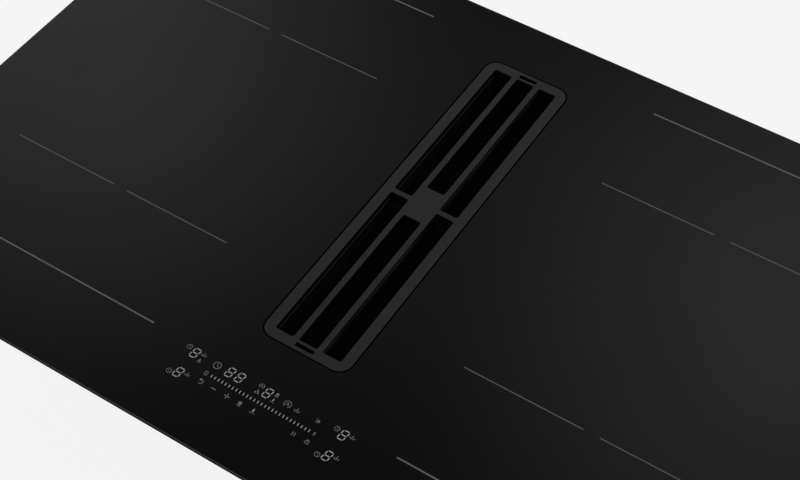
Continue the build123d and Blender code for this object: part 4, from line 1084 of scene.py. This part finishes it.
def addHead(bm, middle, way):
    # a flange, then a hexagon whose top face is chamfered and sunk into a recess
    head = screwHead
    flangeTop = head["flange"] - head["flangeDraft"]
    verts = coneOf(bm, head["flangeSides"], head["flange"], flangeTop, 0, head["flangeHeight"])
    tall = head["height"] - head["flangeHeight"] - head["chamfer"] / 2
    hexagon = coneOf(bm, 6, head["hexagon"], head["hexagon"], head["flangeHeight"], tall)
    faces = {face for vert in hexagon for face in vert.link_faces}
    top = max(faces, key=lambda face: face.calc_center_median().z)
    verts += hexagon
    rim = (head["hexagon"] - head["chamfer"] - head["recessRadius"]) * cos(pi / 6)
    chamfer = (head["chamfer"], head["chamfer"] / 2)
    steps = (chamfer, (rim, 0.0), (head["recessDraft"], -head["recessDepth"]))
    for thickness, depth in steps:
        bmesh.ops.inset_individual(bm, faces=[top], thickness=thickness, depth=depth)
        verts += [vert for vert in top.verts if vert not in verts]
    turn = way.to_track_quat("Z", "Y").to_matrix().to_4x4()
    place = Matrix.Translation(middle - way * head["height"] / 2) @ turn
    bmesh.ops.transform(bm, matrix=place, verts=verts)


def addScrews(nodeName):
    bm = bmesh.new()
    for middle, size in headPlaces(nodeName):
        addHead(bm, middle, outwardOf(nodeName, middle, size))
    bmesh.ops.recalc_face_normals(bm, faces=bm.faces)
    name = nodeName.replace("screws", "heads")
    addPiece(bm, name, [finishes["zinc_steel"]], "housing", [nodeName])


for groupName in screwGroups:
    addScrews(groupName)
print("screw heads made")


# prints and lit figures of the glass
prints = {
    "top": 5.5,
    "thickness": 0.03,
    "figureHeight": 8.5,       # between the middles of the top and bottom bars
    "figureWidth": 5.2,
    "figureBar": 0.8,
    "figurePoint": 0.336,      # what each end of a bar is cut by
    "figureGap": 0.52,
    "figureSlant": 8.5,
    "stroke": 0.4,
    "fineStroke": 0.32,
    "starStroke": 0.25,
    "keyStroke": 0.6,
    "pauseStroke": 0.5,
    "figureRows": (-190.8, -211.7),
    "figureColumns": (-67.4, 68.4),
    "timerFigures": (-34.3, -25.3),
    "fanFigure": 0.4,
    "scaleRow": -201.2,
    "scaleFirst": -44.1,
    "scalePitch": 3.304,
    "scaleMarks": 28,
    "scaleMark": (0.64, 2.6),
}
zoneLines = {
    "near": 111.5,
    "far": 329.7,
    "gapStart": 214.0,
    "gapEnd": 227.5,
    "thinRows": (129.2, -91.0),
    "thickRows": (223.3, -185.3),
    "thin": 0.72,
    "thick": 1.3,
}


def bar(bm, start, end, width, pointed=0.0):
    # a straight flat stroke, with cut corners where it is pointed
    along = Vector((end[0] - start[0], end[1] - start[1], 0))
    middle = Vector(((start[0] + end[0]) / 2, (start[1] + end[1]) / 2, 0))
    turn = along.to_2d().angle_signed(Vector((1, 0)), 0.0)
    place = (
        Matrix.Translation(middle)
        @ Matrix.Rotation(turn, 4, "Z")
        @ Matrix.Diagonal((along.length, width, 1, 1))
    )
    verts = bmesh.ops.create_grid(bm, x_segments=1, y_segments=1, size=0.5, matrix=place)["verts"]
    if pointed > 0:
        verts = bmesh.ops.bevel(
            bm, geom=verts, offset=pointed, segments=1, profile=0.5, affect="VERTICES", material=-1
        )["verts"]
    return verts


def arc(bm, middle, radius, start, sweep, width, steps=20):
    # a flat stroke round a centre, in degrees from +X
    turn = Matrix.Rotation(radians(start), 3, "Z")
    centre = Vector((middle[0], middle[1], 0))
    inner = bm.verts.new(centre + turn @ Vector((radius - width / 2, 0, 0)))
    outer = bm.verts.new(centre + turn @ Vector((radius + width / 2, 0, 0)))
    edge = bm.edges.new((inner, outer))
    bmesh.ops.spin(
        bm,
        geom=[inner, outer, edge],
        cent=centre,
        axis=(0, 0, 1),
        angle=radians(sweep),
        steps=steps,
        use_merge=abs(sweep) == 360,
    )


def strokes(bm, middle, size, lines, width):
    # straight strokes, given from the middle of a sign as (x, y, x, y) in shares of its size
    for x1, y1, x2, y2 in lines:
        start = (middle[0] + size * x1, middle[1] + size * y1)
        end = (middle[0] + size * x2, middle[1] + size * y2)
        bar(bm, start, end, width)


def dot(bm, middle, radius, segments=16, stretch=1.0):
    place = Matrix.Translation((middle[0], middle[1], 0)) @ Matrix.Diagonal((1, stretch, 1, 1))
    made = bmesh.ops.create_circle(
        bm, cap_ends=True, radius=radius, segments=segments, matrix=place
    )
    return made["verts"]


def figure(bm, x, y):
    # a figure eight of seven slanted bars
    high = prints["figureHeight"] / 2
    wide = prints["figureWidth"] / 2
    gap = prints["figureGap"]
    ends = [((-wide + gap, row * high), (wide - gap, row * high)) for row in (-1, 0, 1)]
    for side in (-1, 1):
        ends.append(((side * wide, gap), (side * wide, high - gap)))
        ends.append(((side * wide, -high + gap), (side * wide, -gap)))
    slant = Matrix.Shear("XZ", 4, (0, 0))
    slant[0][1] = tan(radians(prints["figureSlant"]))
    for start, end in ends:
        verts = bar(bm, start, end, prints["figureBar"], prints["figurePoint"])
        bmesh.ops.transform(bm, matrix=Matrix.Translation((x, y, 0)) @ slant, verts=verts)


# the signs, each drawn round its middle
potLines = (
    (-1.75, -1.3, 1.75, -1.3),
    (-1.75, -1.3, -2.15, 0.2),
    (1.75, -1.3, 2.15, 0.2),
    (0.0, -0.6, 0.0, 1.9),
    (0.0, -0.6, -0.7, 0.2),
    (0.0, -0.6, 0.7, 0.2),
)
flashLines = ((0.6, 1.9, -0.9, -0.1), (-1.0, 0.0, 1.0, 0.0), (0.9, 0.1, -0.6, -1.9))
doubleArrowLines = (
    (-1.9, 1.6, -0.4, 0.0),
    (-1.9, -1.6, -0.4, 0.0),
    (-0.1, 1.6, 1.4, 0.0),
    (-0.1, -1.6, 1.4, 0.0),
    (-0.4, 0.0, 1.4, 0.0),
)
padlockLines = (
    (-1.5, -1.9, -1.5, 0.3),
    (1.5, -1.9, 1.5, 0.3),
    (-1.7, -1.9, 1.7, -1.9),
    (-1.7, 0.2, 1.7, 0.2),
)
minusLines = ((-2.2, 0.0, 2.2, 0.0),)
plusLines = ((-2.3, 0.0, 2.3, 0.0), (0.0, -2.3, 0.0, 2.3))
pauseLines = ((-0.95, -1.6, -0.95, 1.6), (0.95, -1.6, 0.95, 1.6))
zeroLines = ((-1.05, -0.85, -1.05, 0.85), (1.05, -0.85, 1.05, 0.85))
returnLines = ((-2.1, 1.6, -0.7, 2.6), (-2.1, 1.6, -0.7, 0.7))
ringTipLines = ((0.0, 0.0, -0.1, 0.42), (0.0, 0.0, 0.36, 0.3))
pointerLines = ((0.0, 0.5, -0.4, -0.4), (0.0, 0.5, 0.4, -0.4))
signParts = {
    "dropRadius": 0.85,
    "dropStretch": 1.15,
    "dropLine": ((-2.1, -1.9, 2.1, -1.9),),
    "tipFrom": 0.55,          # the drop's tip starts here, goes up and gets narrower
    "tipRise": 1.3,
    "tipWidth": 0.25,
    "starRadius": 2.1,
    "starHollow": 0.42,
    "starLines": ((-1.7, -2.0, 1.7, -2.0), (-1.7, -2.6, 1.7, -2.6)),
    "bladeTurns": (90, 210, 330),
    "bladeReach": 1.35,
    "bladeRadius": 0.7,
    "hubRadius": 0.35,
    "ringStart": -55,
    "ringSweep": 290,
}


def clock(bm, middle, radius, stroke):
    arc(bm, middle, radius, 0, 360, stroke, 28)
    hands = ((0.0, -0.1 / radius, 0.0, 0.72), (0.0, 0.0, 0.55, -0.4))
    strokes(bm, middle, radius, hands, stroke * 0.9)


def drop(bm, middle, size):
    # a drop over a short line
    x, y = middle
    for vert in dot(bm, middle, signParts["dropRadius"] * size, 16, signParts["dropStretch"]):
        if vert.co.y > y + signParts["tipFrom"] * size:
            vert.co.y += signParts["tipRise"] * size
            vert.co.x = x + (vert.co.x - x) * signParts["tipWidth"]
    strokes(bm, middle, size, signParts["dropLine"], prints["fineStroke"])


def star(bm, middle, size):
    # a five-pointed star over two short lines
    centre = Vector(middle)
    for vert in dot(bm, middle, signParts["starRadius"] * size, 10)[1::2]:
        vert.co.xy = centre + (vert.co.xy - centre) * signParts["starHollow"]
    strokes(bm, middle, size, signParts["starLines"], prints["starStroke"])


def fanSign(bm, middle, size):
    # three blades round a hub
    for turn in signParts["bladeTurns"]:
        away = Matrix.Rotation(radians(turn), 2) @ Vector((signParts["bladeReach"] * size, 0))
        dot(bm, Vector(middle) + away, signParts["bladeRadius"] * size, 12)
    dot(bm, middle, signParts["hubRadius"] * size, 10)


def autoRing(bm, middle, radius, stroke):
    # an open ring with an arrow head, round a small pointer
    start = signParts["ringStart"]
    arc(bm, middle, radius, start, signParts["ringSweep"], stroke, 24)
    tip = Vector(middle) + Matrix.Rotation(radians(start), 2) @ Vector((radius, 0))
    strokes(bm, tip, radius, ringTipLines, stroke * 1.2)
    strokes(bm, middle, radius, pointerLines, stroke)


def returnArrow(bm, middle, size):
    arc(bm, (middle[0] - 0.2 * size, middle[1]), 1.9 * size, -120, 225, prints["stroke"], 20)
    strokes(bm, middle, size, returnLines, prints["keyStroke"])


def padlock(bm, middle, size):
    strokes(bm, middle, size, padlockLines, prints["stroke"])
    arc(bm, (middle[0], middle[1] + 0.3 * size), 1.15 * size, 0, 180, prints["stroke"], 12)


def zeroSign(bm, middle, size):
    strokes(bm, middle, size, zeroLines, prints["stroke"])
    for side, start in ((1, 0), (-1, 180)):
        centre = (middle[0], middle[1] + side * 0.8 * size)
        arc(bm, centre, 1.05 * size, start, 180, prints["stroke"], 10)


def flatPrint(bm, name, material):
    # every stroke becomes a thin film whose top is the highest level of the cooktop
    bmesh.ops.translate(bm, vec=(0, 0, prints["top"] - prints["thickness"]), verts=bm.verts)
    made = bmesh.ops.extrude_face_region(bm, geom=list(bm.faces))
    raised = [part for part in made["geom"] if isinstance(part, bmesh.types.BMVert)]
    bmesh.ops.translate(bm, vec=(0, 0, prints["thickness"]), verts=raised)
    bmesh.ops.recalc_face_normals(bm, faces=bm.faces)
    addPiece(bm, name, [material], "housing")


def addFigures():
    bm = bmesh.new()
    for x in prints["figureColumns"]:
        for y in prints["figureRows"]:
            figure(bm, x, y)
    for x in (*prints["timerFigures"], prints["fanFigure"]):
        figure(bm, x, prints["figureRows"][0])
    flatPrint(bm, "figures", figurePrint())


def addScale():
    bm = bmesh.new()
    width, height = prints["scaleMark"]
    y = prints["scaleRow"]
    for index in range(prints["scaleMarks"]):
        x = prints["scaleFirst"] + index * prints["scalePitch"]
        bar(bm, (x, y - height / 2), (x, y + height / 2), width)
    flatPrint(bm, "power_scale", figurePrint())


# the same signs at every zone, and then each other sign as (middle, size or radius)
zoneSigns = {
    "clocks": ((-74.4, -188.2), (-74.4, -214.3), (61.4, -188.4), (61.4, -214.5)),
    "clockRadius": 2.05,
    "pots": ((-60.4, -188.4), (-60.4, -209.6), (75.3, -188.7), (75.3, -209.6)),
    "potSize": 1.0,
}
signs = {
    "timerClock": ((-46.35, -190.9), 3.05),
    "zoneDrop": ((-60.5, -194.6), 0.85),
    "scaleZero": ((-49.2, -201.2), 1.0),
    "scaleFlash": ((49.8, -201.2), 1.0),
    "return": ((-47.9, -209.5), 1.0),
    "minus": ((-36.2, -209.5), 1.0),
    "plus": ((-23.8, -209.5), 1.0),
    "star": ((-11.8, -209.1), 1.0),
    "drop": ((0.4, -209.3), 1.1),
    "pause": ((37.0, -209.5), 1.0),
    "padlock": ((49.2, -209.5), 1.0),
    "fanRing": ((-6.95, -188.0), 2.1),
    "fan": ((-6.95, -194.1), 1.0),
    "fanStar": ((7.4, -187.8), 0.85),
    "fanDrop": ((7.4, -193.8), 0.9),
    "autoRing": ((18.5, -190.9), 3.0),
    "autoPot": ((27.6, -191.2), 1.1),
    "doubleArrow": ((46.3, -190.9), 1.0),
}


def addSymbols():
    bm = bmesh.new()
    stroke, fine, thick = prints["stroke"], prints["fineStroke"], prints["keyStroke"]
    for middle in zoneSigns["clocks"]:
        clock(bm, middle, zoneSigns["clockRadius"], fine)
    for middle in zoneSigns["pots"]:
        strokes(bm, middle, zoneSigns["potSize"], potLines, fine)
    clock(bm, *signs["timerClock"], stroke)
    drop(bm, *signs["zoneDrop"])
    zeroSign(bm, *signs["scaleZero"])
    strokes(bm, *signs["scaleFlash"], flashLines, stroke)
    returnArrow(bm, *signs["return"])
    strokes(bm, *signs["minus"], minusLines, thick)
    strokes(bm, *signs["plus"], plusLines, thick)
    star(bm, *signs["star"])
    drop(bm, *signs["drop"])
    strokes(bm, *signs["pause"], pauseLines, prints["pauseStroke"])
    padlock(bm, *signs["padlock"])
    autoRing(bm, *signs["fanRing"], fine)
    fanSign(bm, *signs["fan"])
    star(bm, *signs["fanStar"])
    drop(bm, *signs["fanDrop"])
    autoRing(bm, *signs["autoRing"], stroke)
    strokes(bm, *signs["autoPot"], potLines, fine)
    strokes(bm, *signs["doubleArrow"], doubleArrowLines, stroke)
    flatPrint(bm, "key_symbols", symbolPrint())


def addZoneLines():
    bm = bmesh.new()
    for side in (-1, 1):
        near, far = side * zoneLines["near"], side * zoneLines["far"]
        for y in zoneLines["thinRows"]:
            bar(bm, (near, y), (side * zoneLines["gapStart"], y), zoneLines["thin"])
            bar(bm, (side * zoneLines["gapEnd"], y), (far, y), zoneLines["thin"])
        for y in zoneLines["thickRows"]:
            bar(bm, (near, y), (far, y), zoneLines["thick"])
    flatPrint(bm, "zone_lines", zonePrint())


addFigures()
addScale()
addSymbols()
addZoneLines()
print("prints made")
